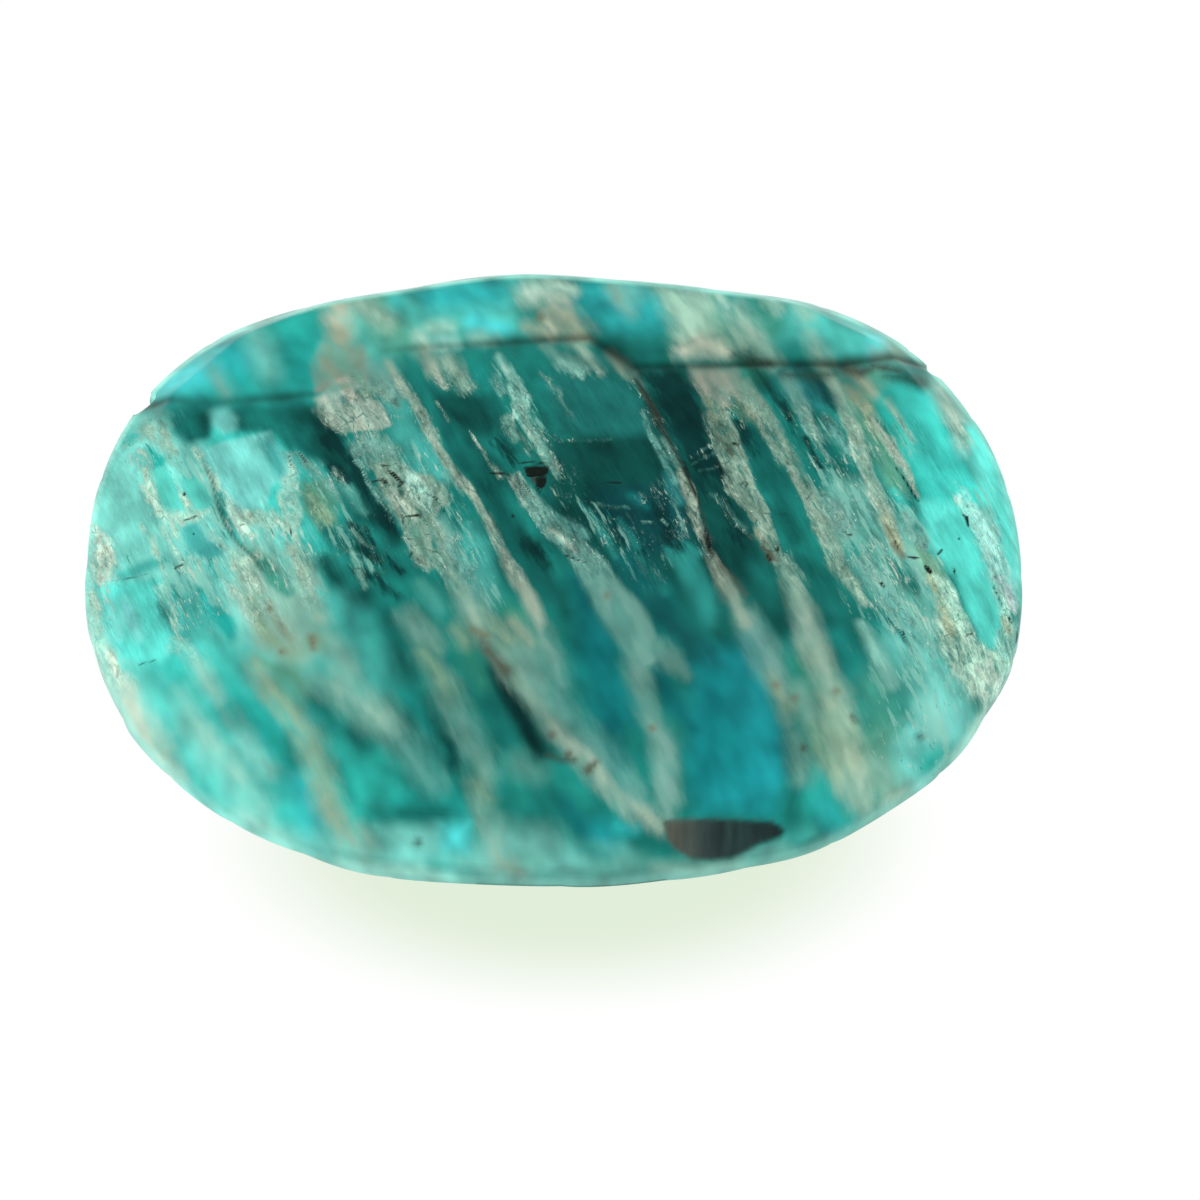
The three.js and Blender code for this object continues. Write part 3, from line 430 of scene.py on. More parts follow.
# ---- lamellae: the pale albite bands ----
LAMELLAE = {
    "far left tan": ("pebble", 6, [(207, 358, 3), (215, 374, 4), (226, 392, 4)]),
    "far tan top": ("straw", 6, [(340, 302, 13), (338, 318, 13), (341, 332, 12)]),
    "far tan foot": ("tan", 6, [(340, 336, 13), (345, 352, 12)]),
    "far tan side": ("pearl", 8, [(360, 303, 8), (374, 314, 6), (386, 322, 4)]),
    "block crown": ("dun", 4, [(314, 362), (322, 346), (345, 340), (366, 348), (374, 372), (372, 400),
        (330, 400), (318, 384)]),
    "block top": ("rose", 2.5, [(319, 389, 3), (331, 382, 6), (348, 378, 6), (358, 386, 5), (345, 392, 5)]),
    "block": ("chalk", 2.5, [(315, 400), (324, 392), (345, 388), (356, 392), (366, 400), (378, 402),
        (386, 412), (391, 424), (384, 431), (368, 430), (352, 434), (338, 430), (328, 424), (319, 412)]),
    "block foot": ("bone", 3, [(316, 410, 3), (330, 422, 3), (345, 430, 3)]),
    "block side": ("sage", 6, [(372, 386, 6), (384, 396, 6), (392, 408, 4)]),
    "block shoulder": ("pebble", 7, [(366, 372, 9), (384, 385, 10), (396, 396, 8)]),
    "upper left cream": ("sage", 5, [(140, 424, 4), (150, 433, 9), (163, 440, 8), (174, 452, 4)]),
    "notch brown": ("peat", 5, [(155, 406, 3), (160, 416, 5), (164, 424, 3)]),
    "pane rim": ("pearl", 2, [(144, 468, 2), (147, 482, 3), (152, 496, 4), (160, 510, 3)]),
    "pane foot rim": ("pearl", 4, [(160, 512, 4), (176, 518, 6), (192, 518, 6), (204, 513, 3)]),
    "pane divide": ("pearl", 1.5, [(172, 478, 1), (180, 492, 2), (188, 506, 3)]),
    "left needle": ("pearl", 3.5, [(194, 450, 1.6), (204, 462, 3), (212, 474, 3), (218, 488, 2)]),
    "pale by crack": ("froth", 4, [(226, 494, 2), (232, 508, 5), (240, 522, 6), (252, 536, 4)]),
    "crack left white": ("dew", 2, [(206, 520, 1), (213, 536, 2), (222, 546, 3), (236, 553, 3)]),
    "knot left": ("pearl", 5, [(236, 516, 5), (254, 516, 8), (272, 520, 9), (288, 526, 8), (298, 534, 4)]),
    "knot": ("pearl", 4, [(292, 466, 4), (288, 480, 7), (286, 496, 9), (290, 512, 10), (292, 526, 8)]),
    "knot edge": ("milk", 1.5, [(292, 458, 0.6), (297, 470, 1.2), (299, 486, 1.4), (297, 500, 1)]),
    "knot arm": ("ash", 3, [(286, 455, 3), (298, 453, 4), (308, 464, 5), (318, 476, 3)]),
    "moss streaks": ("pebble", 2.5, [(312, 470, 2), (326, 484, 4), (338, 500, 3)]),
    "moss cream": ("olive", 4, [(306, 492, 4), (318, 506, 6), (330, 520, 5)]),
    "far left cream": ("milk", 5, [(99, 530, 5), (103, 545, 10), (104, 560, 11), (102, 576, 8)]),
    "left streak one": ("pearl", 3, [(142, 526, 1.6), (150, 540, 2), (158, 560, 2), (166, 578, 1.6)]),
    "left streak two": ("pearl", 3, [(160, 524, 1.6), (170, 542, 2), (180, 560, 1.6)]),
    "left streak three": ("pearl", 2, [(172, 520, 2), (178, 536, 3)]),
    "white blob": ("pearl", 4, [(159, 588, 3), (165, 598, 5), (172, 610, 4)]),
    "below the blue pane": ("pearl", 3, [(188, 558, 2), (198, 563, 3)]),
    "below the crack": ("pearl", 3, [(232, 568, 5), (246, 562, 6), (256, 556, 4)]),
    "pale ground": ("milk", 7, [(230, 590, 5), (238, 600, 6), (250, 612, 7), (262, 630, 5)]),
    "pale ground top": ("pearl", 6, [(236, 564, 6), (246, 576, 7), (254, 588, 6)]),
    "pale ground right": ("sage", 8, [(290, 552, 6), (302, 568, 8), (312, 592, 8), (320, 616, 8)]),
    "rim speckle": ("pearl", 6, [(92, 596, 5), (92, 622, 6), (98, 650, 7)]),
    "mottled ground": ("olive", 7, [(252, 600, 6), (268, 640, 8), (300, 655, 9), (318, 640, 8)]),
    "mottled heart": ("clay", 8, [(270, 608, 4), (281, 624, 7), (290, 642, 6)]),
    "left edge cream": ("milk", 8, [(107, 660, 8), (121, 690, 12), (137, 720, 13), (151, 745, 11),
        (164, 765, 6), (178, 782, 3)]),
    "left edge tan": ("tan", 7, [(156, 746, 4), (164, 752, 4)]),
    "left middle streak": ("dew", 6, [(175, 645, 4), (190, 655, 7), (200, 670, 8), (212, 690, 8),
        (219, 702, 6)]),
    "long mint streak": ("dew", 8, [(180, 694, 4), (195, 720, 10), (210, 745, 13), (228, 765, 12),
        (245, 785, 12), (260, 806, 9)]),
    "short mint streak": ("pebble", 8, [(228, 715, 3), (241, 736, 4), (256, 757, 4), (269, 772, 3)]),
    "ochre band left": ("mud", 9, [(254, 664, 3), (270, 690, 6), (285, 706, 6), (295, 717, 6), (306, 737, 7),
        (316, 760, 7), (322, 780, 7), (326, 803, 7), (335, 822, 8), (342, 834, 7)]),
    "ochre band foot": ("bone", 10, [(345, 835, 8), (362, 845, 9)]),
    "mint island": ("haze green", 9, [(316, 680, 7), (328, 684, 9), (345, 690, 13), (362, 702, 15),
        (380, 716, 14), (396, 734, 11)]),
    "mint island heart": ("pearl", 9, [(346, 692, 5), (362, 704, 7), (378, 718, 6)]),
    "mint island tail": ("slate", 10, [(404, 744, 9), (418, 762, 8), (434, 782, 6)]),
    "low middle band": ("pebble", 8, [(440, 680, 9), (450, 702, 9), (460, 722, 9), (470, 742, 9),
        (479, 757, 9), (485, 772, 8), (481, 796, 7), (486, 818, 7), (491, 842, 8), (500, 866, 9)]),
    "low middle ochre": ("olive", 8, [(478, 782, 5), (486, 800, 5)]),
    "low front cream": ("bone", 9, [(490, 842, 7), (498, 862, 9), (520, 874, 6)]),
    "far cream": ("froth", 5, [(419, 337, 4), (431, 345, 6), (443, 349, 3)]),
    "far mint slip": ("shell mint", 5, [(440, 338, 3), (448, 342, 4), (456, 343, 3)]),
    "far beige": ("dew", 5, [(474, 336, 4), (484, 337, 5), (494, 338, 3)]),
    "second band": ("cream", 3, [(388, 364, 4), (399, 383, 5), (412, 400, 5), (422, 415, 5), (428, 430, 5),
        (434, 443, 5), (441, 454, 5), (449, 467, 5), (459, 482, 5), (474, 499, 5), (484, 516, 5),
        (493, 533, 5), (499, 549, 5), (508, 564, 6), (517, 579, 6), (526, 594, 7), (533, 611, 7),
        (539, 626, 6), (544, 640, 3)]),
    "second band tail": ("pebble", 7, [(544, 638, 6), (551, 654, 6), (557, 670, 6), (561, 684, 5)]),
    "fourth band left fork": ("pebble", 5, [(636, 662, 12), (640, 684, 11), (645, 704, 9), (652, 722, 8),
        (660, 736, 10), (665, 752, 12), (667, 768, 12), (667, 785, 13), (668, 800, 11), (668, 812, 7)]),
    "fourth band right fork": ("pebble", 4, [(658, 650, 12), (671, 660, 11), (680, 668, 6), (686, 676, 3)]),
    "fourth band middle": ("slate", 7, [(600, 590, 5), (620, 622, 8), (636, 642, 7)]),
    "far cream top": ("tusk", 8, [(528, 292, 7), (548, 292, 12), (556, 302, 9)]),
    "far cream side": ("tan", 5, [(528, 326, 3), (540, 331, 5), (550, 336, 5)]),
    "far cream crest": ("snow", 5, [(538, 287, 4), (556, 287, 6), (572, 291, 4)]),
    "far cream foot": ("straw", 7, [(554, 308, 9), (564, 320, 10)]),
    "far cream low": ("straw", 5, [(548, 322, 5), (556, 329, 7)]),
    "far cream tan": ("tan", 7, [(568, 324, 11), (580, 336, 9)]),
    "far streak": ("bone", 6, [(611, 286, 4), (622, 300, 4), (632, 312, 3)]),
    "far wide cream": ("shell", 8, [(656, 284), (704, 288), (716, 308), (720, 334), (700, 352), (682, 346),
        (668, 314)]),
    "far wide crest": ("froth", 6, [(678, 290, 5), (690, 293, 7), (702, 300, 6)]),
    "far wide tan": ("tan light", 6, [(684, 350, 7), (700, 344, 13), (716, 346, 11), (728, 352, 5)]),
    "far second cream": ("pearl", 7, [(738, 304, 3), (744, 322, 6), (754, 338, 9), (764, 350, 8),
        (774, 362, 4)]),
    "far second tan": ("sage", 7, [(726, 316, 4), (736, 330, 5), (746, 344, 5)]),
    "far second glint": ("froth", 4, [(718, 294, 3), (723, 300, 4), (727, 307, 3)]),
    "far thin streak": ("froth", 7, [(772, 300, 4), (778, 307, 3)]),
    "far glow streak": ("pearl", 7, [(800, 302, 4), (808, 314, 4)]),
    "far right streak": ("sage", 6, [(811, 334, 3), (818, 350, 4), (828, 366, 5)]),
    "far right tan": ("tan", 8, [(880, 355, 6), (896, 352, 7)]),
    "upper slip": ("ash", 3, [(545, 345, 3), (553, 353, 4), (561, 361, 3)]),
    "upper slip pale": ("dew", 4, [(562, 362, 6), (572, 368, 7), (583, 372, 5)]),
    "upper slip streak": ("sage", 3, [(577, 345, 3), (589, 358, 5), (600, 373, 4)]),
    "upper slip thin": ("pebble", 2.5, [(541, 372, 1), (551, 385, 2), (560, 391, 2), (564, 402, 2),
        (571, 413, 2), (575, 423, 1)]),
    "fifth band low": ("blue ash", 6, [(746, 618, 10), (754, 636, 11), (762, 652, 12), (769, 668, 11),
        (777, 684, 8), (784, 702, 6), (789, 722, 5)]),
    "fifth band warm": ("tan", 5, [(720, 584, 3), (730, 594, 5), (738, 604, 4)]),
    "fifth band end": ("ash", 8, [(794, 738, 6), (799, 758, 6), (802, 778, 3)]),
    "fifth band dun": ("mud", 6, [(768, 676, 3), (778, 692, 5), (790, 708, 5)]),
    "fifth band thread": ("thread brown", 3, [(609, 354, 4), (622, 366, 6), (632, 376, 6), (640, 386, 5)]),
    "fifth band thread top": ("dun", 3, [(612, 360, 2), (620, 370, 4), (628, 378, 3)]),
    "fifth band bark": ("bark", 2.5, [(636, 382, 4), (646, 397, 5), (655, 414, 4), (664, 432, 3)]),
    "fifth band": ("cream", 2.2, [(680, 472, 3), (686, 482, 5), (691, 493, 6), (694, 506, 5),
        (697, 520, 3.4), (702, 535, 4), (709, 550, 4), (716, 566, 6), (724, 580, 8), (731, 593, 8),
        (737, 608, 6), (744, 623, 8)]),
    "fifth band dark": ("thread brown", 2.5, [(701, 522, 3), (705, 538, 4), (709, 552, 5), (712, 562, 3)]),
    "fifth band brown": ("peat", 2.5, [(664, 438, 2), (671, 451, 3), (678, 465, 4)]),
    "inner thread": ("slate", 2, [(640, 412, 1), (649, 430, 2.5), (658, 448, 3), (667, 466, 3),
        (676, 482, 2.5)]),
    "inner thread edge": ("dew", 1.5, [(642, 414, 0.8), (652, 434, 1.2), (663, 454, 1)]),
    "sixth band": ("bone", 2.6, [(720, 420, 13), (729, 445, 12), (735, 462, 14), (740, 482, 15),
        (751, 500, 11), (760, 516, 9), (767, 531, 8), (773, 545, 7), (779, 560, 6)]),
    "sixth band head": ("sand", 4, [(690, 366), (736, 366), (746, 384), (746, 406), (734, 410), (720, 412),
        (704, 408), (697, 388)]),
    "sixth band olive": ("moss olive", 5, [(734, 398, 4), (740, 408, 5), (746, 420, 3)]),
    "sixth band clay": ("clay", 4, [(710, 404, 9), (718, 420, 11), (726, 438, 10), (732, 452, 8)]),
    "seventh band": ("bone", 2.6, [(744, 384, 6), (752, 400, 8), (761, 414, 9), (769, 426, 10),
        (777, 438, 10), (785, 452, 9), (792, 466, 8), (800, 480, 8), (808, 494, 9), (816, 508, 9),
        (823, 520, 9), (829, 533, 8), (834, 546, 7), (838, 558, 6)]),
    "seventh band shade": ("brown olive", 3, [(790, 448, 2), (798, 466, 3), (804, 484, 3)]),
    "sixth band rose": ("rose", 5, [(700, 374, 4), (708, 390, 5)]),
    "sixth band tan": ("tan", 5, [(756, 532, 3), (766, 540, 4)]),
    "sixth band low": ("sage", 6, [(785, 562, 6), (793, 582, 8), (800, 600, 9), (806, 620, 11),
        (811, 641, 13), (820, 660, 12), (828, 680, 10), (836, 700, 14), (838, 722, 17), (841, 742, 19),
        (846, 762, 20), (853, 782, 19), (860, 797, 15), (866, 808, 9)]),
    "sixth band parchment": ("parchment", 9, [(832, 708, 7), (838, 728, 11), (842, 748, 13),
        (846, 768, 12)]),
    "sixth band heart": ("chalk", 7, [(803, 622, 6), (808, 636, 6)]),
    "low right olive": ("olive", 8, [(812, 725, 4), (820, 745, 8), (828, 765, 5)]),
    "seventh band ochre": ("mud", 5, [(746, 408, 4), (754, 418, 4)]),
    "eighth band": ("ash", 2.5, [(786, 378, 6), (794, 392, 8), (802, 408, 8), (808, 422, 7), (816, 436, 5),
        (824, 450, 4), (832, 462, 2)]),
    "eighth band edge": ("pearl", 1.3, [(800, 402, 1), (810, 420, 2), (818, 438, 2)]),
    "ninth band": ("bone", 2.5, [(822, 364, 5), (832, 380, 5), (841, 396, 6), (848, 420, 8), (855, 440, 8),
        (862, 458, 7), (869, 474, 6), (877, 494, 6), (886, 514, 5), (894, 532, 4), (903, 550, 3)]),
    "ninth band veil": ("slate", 4, [(828, 418, 5), (836, 434, 6), (846, 450, 4)]),
    "ninth band edge": ("milk", 1.2, [(846, 436, 1), (858, 462, 1.5), (868, 486, 1), (880, 512, 1)]),
    "ninth band ochre": ("mud", 3, [(884, 516, 4), (893, 536, 5), (900, 550, 4)]),
    "tenth band head": ("tan", 5, [(850, 372, 6), (862, 384, 7), (872, 392, 5)]),
    "tenth band": ("mud", 3, [(858, 402, 4), (866, 410, 5), (874, 422, 5), (884, 438, 4)]),
    "tenth band shade": ("clay", 4, [(848, 388, 4), (855, 398, 7), (862, 407, 4)]),
    "eleventh band": ("cream", 2, [(872, 416, 3), (879, 428, 4), (886, 440, 5), (896, 454, 4), (905, 468, 3),
        (913, 482, 2), (919, 496, 1)]),
    "slip streak": ("sage", 3, [(887, 402, 2), (895, 414, 3), (905, 428, 2), (914, 442, 1.5)]),
    "crumb veil": ("ash", 6, [(826, 500, 8), (840, 518, 9), (846, 536, 5)]),
    "pale fall": ("sage", 4, [(818, 526, 4), (829, 548, 6), (840, 568, 8), (852, 586, 7), (864, 604, 4)]),
    "pale fall two": ("ash", 4, [(862, 560, 7), (878, 584, 8), (890, 604, 6)]),
    "right cream": ("pearl", 10, [(940, 380, 3), (948, 400, 5), (956, 420, 6), (964, 440, 4)]),
    "right cream head": ("milk", 6, [(940, 388, 4), (948, 402, 6), (954, 416, 4)]),
    "right cream middle": ("shell mint", 4, [(962, 496, 6), (970, 508, 8), (979, 523, 9), (989, 545, 11),
        (998, 566, 12), (1004, 586, 11)]),
    "right cream foot": ("dew", 4, [(1000, 588, 7), (1006, 606, 6), (1008, 622, 6), (1006, 640, 8),
        (1004, 654, 9)]),
    "right rim cream": ("snow", 4, [(999, 578, 5), (1006, 590, 8), (1014, 608, 5)]),
    "right rim ochre": ("mud", 3, [(1005, 618, 3), (1009, 632, 4)]),
    "right inner cream": ("shell", 3, [(932, 577, 3), (942, 587, 7), (950, 598, 9), (957, 614, 9),
        (965, 632, 7), (976, 652, 8), (990, 662, 12), (1003, 667, 9)]),
    "right inner low": ("pearl", 7, [(942, 624, 6), (950, 645, 9), (965, 670, 12), (980, 688, 10)]),
    "right inner warm": ("mud", 4, [(926, 574, 4), (936, 590, 5), (944, 612, 5), (950, 634, 5)]),
    "right sliver": ("slate", 3.5, [(884, 590, 5), (900, 612, 7), (916, 634, 7), (930, 654, 5)]),
    "right pale streak": ("dew", 4, [(863, 624, 4), (872, 644, 5), (882, 664, 6), (892, 684, 5)]),
    "right crumb": ("pebble", 4, [(906, 518, 5), (914, 532, 7), (922, 546, 6)]),
    "right low cream": ("milk", 6, [(989, 664, 11), (994, 682, 11), (987, 704, 6)]),
    "low right beige": ("sage", 9, [(885, 800, 9), (902, 794, 7)]),
    "low right rim": ("pearl", 5, [(990, 704, 4), (982, 722, 4), (971, 742, 4), (958, 758, 4)]),
    "right foot streak": ("dew", 8, [(926, 706, 5), (933, 718, 7), (938, 730, 6)]),
    "first band middle": ("bone", 6, [(488, 640, 7), (505, 655, 9), (515, 672, 9), (528, 692, 9),
        (545, 714, 8)]),
    "first band low": ("cream", 6, [(545, 714, 8), (556, 728, 9), (570, 741, 10), (584, 753, 11),
        (595, 766, 11), (605, 780, 10), (617, 792, 10), (629, 803, 10), (640, 812, 9), (652, 820, 7),
        (662, 828, 4)]),
    "first band side": ("pebble", 7, [(512, 645, 7), (528, 668, 8), (542, 690, 7)]),
    "second band halo": ("slate", 9, [(556, 690, 6), (562, 706, 8), (580, 728, 7), (596, 746, 8),
        (610, 762, 8), (622, 778, 7), (632, 795, 7)]),
    "low front slope": ("slate", 9, [(540, 836, 7), (556, 852, 9), (574, 868, 7)]),
    "grey island": ("pebble", 7, [(408, 616, 7), (422, 632, 10), (434, 648, 8)]),
    "ochre island": ("olive", 7, [(422, 652, 5), (436, 672, 7), (448, 692, 6)]),
    "second band wash": ("parchment", 6, [(484, 618, 5), (492, 630, 7), (506, 642, 6)]),
    "second band side": ("tan", 7, [(514, 622, 4), (522, 632, 5), (529, 642, 4)]),
    "first band olive": ("olive", 6, [(456, 628, 5), (466, 640, 7)]),
    "granular foot": ("ash", 3.5, [(352, 434), (386, 432), (398, 446), (402, 462), (396, 486), (380, 473),
        (366, 466), (354, 450)]),
    "granular shade": ("peat", 3, [(366, 452, 4), (378, 456, 7), (384, 470, 8), (388, 488, 5)]),
    "foot edge": ("dew", 2, [(356, 460, 1), (363, 468, 1.2), (368, 480, 1), (377, 495, 1.2), (384, 506, 1),
        (392, 521, 1), (398, 528, 0.6)]),
    "first band": ("bone", 3, [(372, 466), (386, 456), (402, 458), (416, 474), (430, 474), (442, 484),
        (446, 500), (440, 510), (432, 520), (434, 538), (438, 560), (430, 570), (416, 566), (405, 552),
        (403, 530), (391, 508), (380, 488)]),
    "first band lump": ("snow", 3, [(404, 474, 7), (414, 484, 11), (423, 498, 11), (428, 510, 6)]),
    "first band lump side": ("sage", 3, [(440, 490, 5), (444, 500, 5)]),
    "first band heart": ("milk", 3, [(392, 496, 4), (402, 506, 7), (412, 514, 4)]),
    "first band mist": ("haze green", 5, [(436, 556, 6), (446, 568, 8), (458, 580, 9)]),
    "first band shade": ("brown olive", 3, [(408, 518, 5), (414, 530, 9), (420, 544, 9), (424, 556, 6)]),
    "first band bridge": ("sage", 4, [(431, 524, 5), (441, 538, 8), (446, 552, 9), (456, 570, 9)]),
    "first band foot": ("sage", 6, [(444, 562, 8), (460, 582, 11), (470, 604, 12), (476, 622, 12),
        (482, 634, 9)]),
    "first band foot light": ("pearl", 6, [(464, 584, 6), (470, 596, 7), (474, 608, 5)]),
    "first band veil": ("slate", 7, [(452, 545, 6), (466, 570, 10), (478, 592, 10)]),
    "third band head": ("cream", 3.5, [(424, 350, 6), (432, 364, 8), (439, 376, 6), (444, 386, 2)]),
    "third band veil": ("sage", 5, [(447, 360, 5), (457, 373, 8), (468, 386, 6)]),
    "thread one": ("bone", 1.5, [(437, 402, 1), (448, 420, 1.2)]),
    "thread three": ("bone", 2, [(483, 449, 1.5), (492, 462, 2), (502, 476, 2)]),
    "fourth band head": ("dew", 2.5, [(498, 358, 3), (506, 370, 6), (515, 386, 9), (521, 402, 8),
        (518, 414, 5)]),
    "fourth band right": ("haze green", 3, [(518, 402, 5), (523, 416, 4), (530, 430, 6), (538, 444, 6),
        (546, 456, 5), (553, 467, 3), (560, 478, 1.4)]),
    "fourth band crest": ("milk", 2, [(525, 422, 0.6), (530, 432, 2), (538, 446, 1.2)]),
    "fourth band olive": ("clay", 3, [(514, 432, 3), (522, 440, 3), (528, 448, 2)]),
    "crumb by head": ("slate", 4, [(495, 378, 3), (502, 392, 4)]),
    "fourth band left": ("haze green", 3, [(508, 418, 5), (510, 430, 5), (514, 440, 2)]),
    "fourth band": ("ash", 2.5, [(514, 478, 4), (524, 490, 7), (534, 504, 9), (543, 516, 9), (556, 530, 11),
        (568, 542, 13), (580, 556, 14), (592, 570, 15), (606, 588, 16), (620, 610, 18), (632, 630, 19),
        (641, 650, 19)]),
    "fourth band flank": ("slate", 3, [(548, 508, 3), (558, 516, 5), (570, 526, 6), (584, 536, 6)]),
    "fourth band bright": ("milk", 2, [(550, 528, 3), (562, 540, 4), (576, 552, 3)]),
    "stripe flakes": ("pebble", 2, [(334, 468, 1), (342, 480, 2), (350, 492, 2)]),
    "stripe flakes two": ("pebble", 2, [(352, 530, 1), (362, 540, 2), (368, 548, 1)]),
    "left mint streak": ("haze green", 4, [(352, 552, 1), (357, 562, 2.5), (362, 574, 2.5), (367, 584, 1)]),
    "blade one edge": ("smoke grey", 2.5, [(588, 514, 0.8), (600, 531, 1.4), (611, 548, 1.4)]),
    "blade two edge": ("smoke grey", 2.5, [(620, 524, 1), (632, 546, 1.6), (645, 572, 1.6)]),
    "needle in the pane": ("smoke grey", 3, [(712, 494, 0.6), (722, 504, 1), (734, 518, 2), (744, 530, 2)]),
    "pit rim left": ("milk", 2, [(511, 480, 1), (518, 492, 1.4), (525, 503, 1.4)]),
    "pit glint": ("milk", 2, [(516, 474, 1), (523, 486, 1.6), (530, 497, 1.6), (537, 508, 1)]),
    "head glint": ("milk", 1.5, [(503, 366, 0.8), (509, 377, 1.6), (517, 388, 1.2), (527, 396, 1)]),
    "head glint two": ("milk", 1.5, [(511, 402, 0.6), (514, 411, 1), (511, 426, 0.8)]),
    "hair one": ("smoke grey", 2, [(692, 457, 0.3), (706, 448, 0.7), (722, 442, 0.3)]),
    "hair two": ("smoke grey", 2, [(694, 463, 0.3), (708, 456, 0.7), (724, 450, 0.3)]),
    "hair three": ("smoke grey", 2, [(700, 470, 0.3), (716, 468, 0.6)]),
    "pane hair": ("smoke grey", 2, [(560, 440, 0.2), (590, 440, 0.6), (612, 439, 0.2)]),
    "pane hair two": ("smoke grey", 2, [(596, 503, 0.2), (616, 507, 0.6), (634, 508, 0.3)]),
    "pane tick": ("dew", 1.6, [(641, 521, 0.6), (655, 522, 0.9)]),
    "pane tick two": ("dew", 1.6, [(662, 519, 0.4), (668, 524, 0.8)]),
    "swirl": ("smoke grey", 2, [(634, 498, 0.6), (639, 494, 0.8), (645, 497, 0.8), (645, 503, 0.8),
        (638, 505, 0.6)]),
    "strand glint": ("milk", 1.2, [(551, 453, 0.5), (556, 463, 0.9), (559, 471, 0.6)]),
    "strand glint two": ("milk", 1.2, [(560, 465, 0.5), (563, 471, 0.6)]),
    "thread two": ("milk", 1.3, [(470, 430, 1), (481, 447, 1.6)]),
    "second band twig": ("bone", 2, [(382, 394, 1), (394, 409, 2), (401, 421, 1)]),
}

# ---- stains and dark lines ----
STAINING = {
    # the fracture strokes are dirt in the crack and painted shade along it
    "fracture black": ("green dirt and shade", 7, [(734, 355, 3), (750, 358, 7), (768, 363, 4)]),
    "fracture below": ("green dirt and shade", 6, [(783, 374, 3), (797, 375, 4), (815, 376, 4), (832, 374, 2)]),
    "fracture end": ("green dirt and shade", 6, [(885, 376, 2), (905, 378, 4), (922, 384, 4)]),
    "fracture red": ("umber", 5, [(845, 369, 3), (859, 373, 5), (872, 369, 3)]),
    "fracture red end": ("umber", 5, [(872, 366, 3), (886, 368, 4), (900, 372, 3)]),
    "far spot": ("rust", 5, [(540, 318, 3)]),
    "fifth thread": ("bark", 2, [(634, 378, 0.6), (645, 392, 1.6), (655, 410, 1.6), (666, 434, 1.4),
        (679, 460, 1.6), (687, 475, 1.6), (700, 505, 1), (705, 525, 1.2), (709, 542, 2), (714, 556, 1.6)]),
    "fifth thread low": ("liver", 3, [(714, 556, 1), (724, 569, 1.4), (736, 581, 1.4), (746, 595, 1)]),
    "rust eye": ("liver", 3, [(762, 547, 2), (768, 550, 3), (771, 558, 4)]),
    "left band rust": ("liver", 5, [(482, 640, 2), (487, 650, 4), (495, 660, 3), (505, 670, 5)]),
    "left band red": ("rust", 5, [(472, 630, 2), (486, 636, 3)]),
    "low rust one": ("liver", 4, [(552, 735, 3)]),
    "low rust two": ("liver", 4, [(568, 755, 4)]),
    "low rust three": ("liver", 4, [(588, 770, 4), (596, 762, 2)]),
    "low rust edge": ("umber", 4, [(548, 755, 1), (562, 760, 2), (574, 760, 2)]),
    "fork rust": ("rust", 4, [(652, 728, 3)]),
    "low right rust one": ("rust", 4, [(776, 685, 3)]),
    "low right rust two": ("rust", 4, [(795, 698, 3)]),
    "low right rust three": ("umber", 4, [(803, 748, 3)]),
    "low right rust four": ("rust", 4, [(836, 691, 3)]),
    "low right rust edge": ("umber", 3, [(852, 716, 2), (856, 722, 2)]),
    "mottle one": ("rust", 4, [(270, 608, 2)]),
    "mottle two": ("rust", 4, [(282, 652, 2)]),
    "mottle three": ("rust", 4, [(312, 638, 3), (313, 648, 2)]),
    "mottle four": ("rust", 4, [(607, 595, 2)]),
    "right brown": ("rust", 5, [(893, 544, 3), (903, 556, 3)]),
    "front dark spot": ("umber", 4, [(418, 842, 3)]),
    "right low spot": ("umber", 4, [(920, 737, 3)]),
    "block seam": ("umber", 2, [(352, 374, 1), (355, 383, 1)]),
    "left crack shade": ("green dirt and shade", 3.5, [(203, 462, 0.6), (212, 481, 1.2), (219, 508, 1.8),
        (226, 526, 1.4), (238, 543, 1.2), (252, 556, 1), (262, 570, 0.6)]),
    "pit brown": ("umber", 2.5, [(532, 470, 2), (534, 480, 3)]),
    "pit side dark": ("bark", 2.5, [(516, 474, 1), (520, 484, 2), (526, 494, 1.6)]),
}
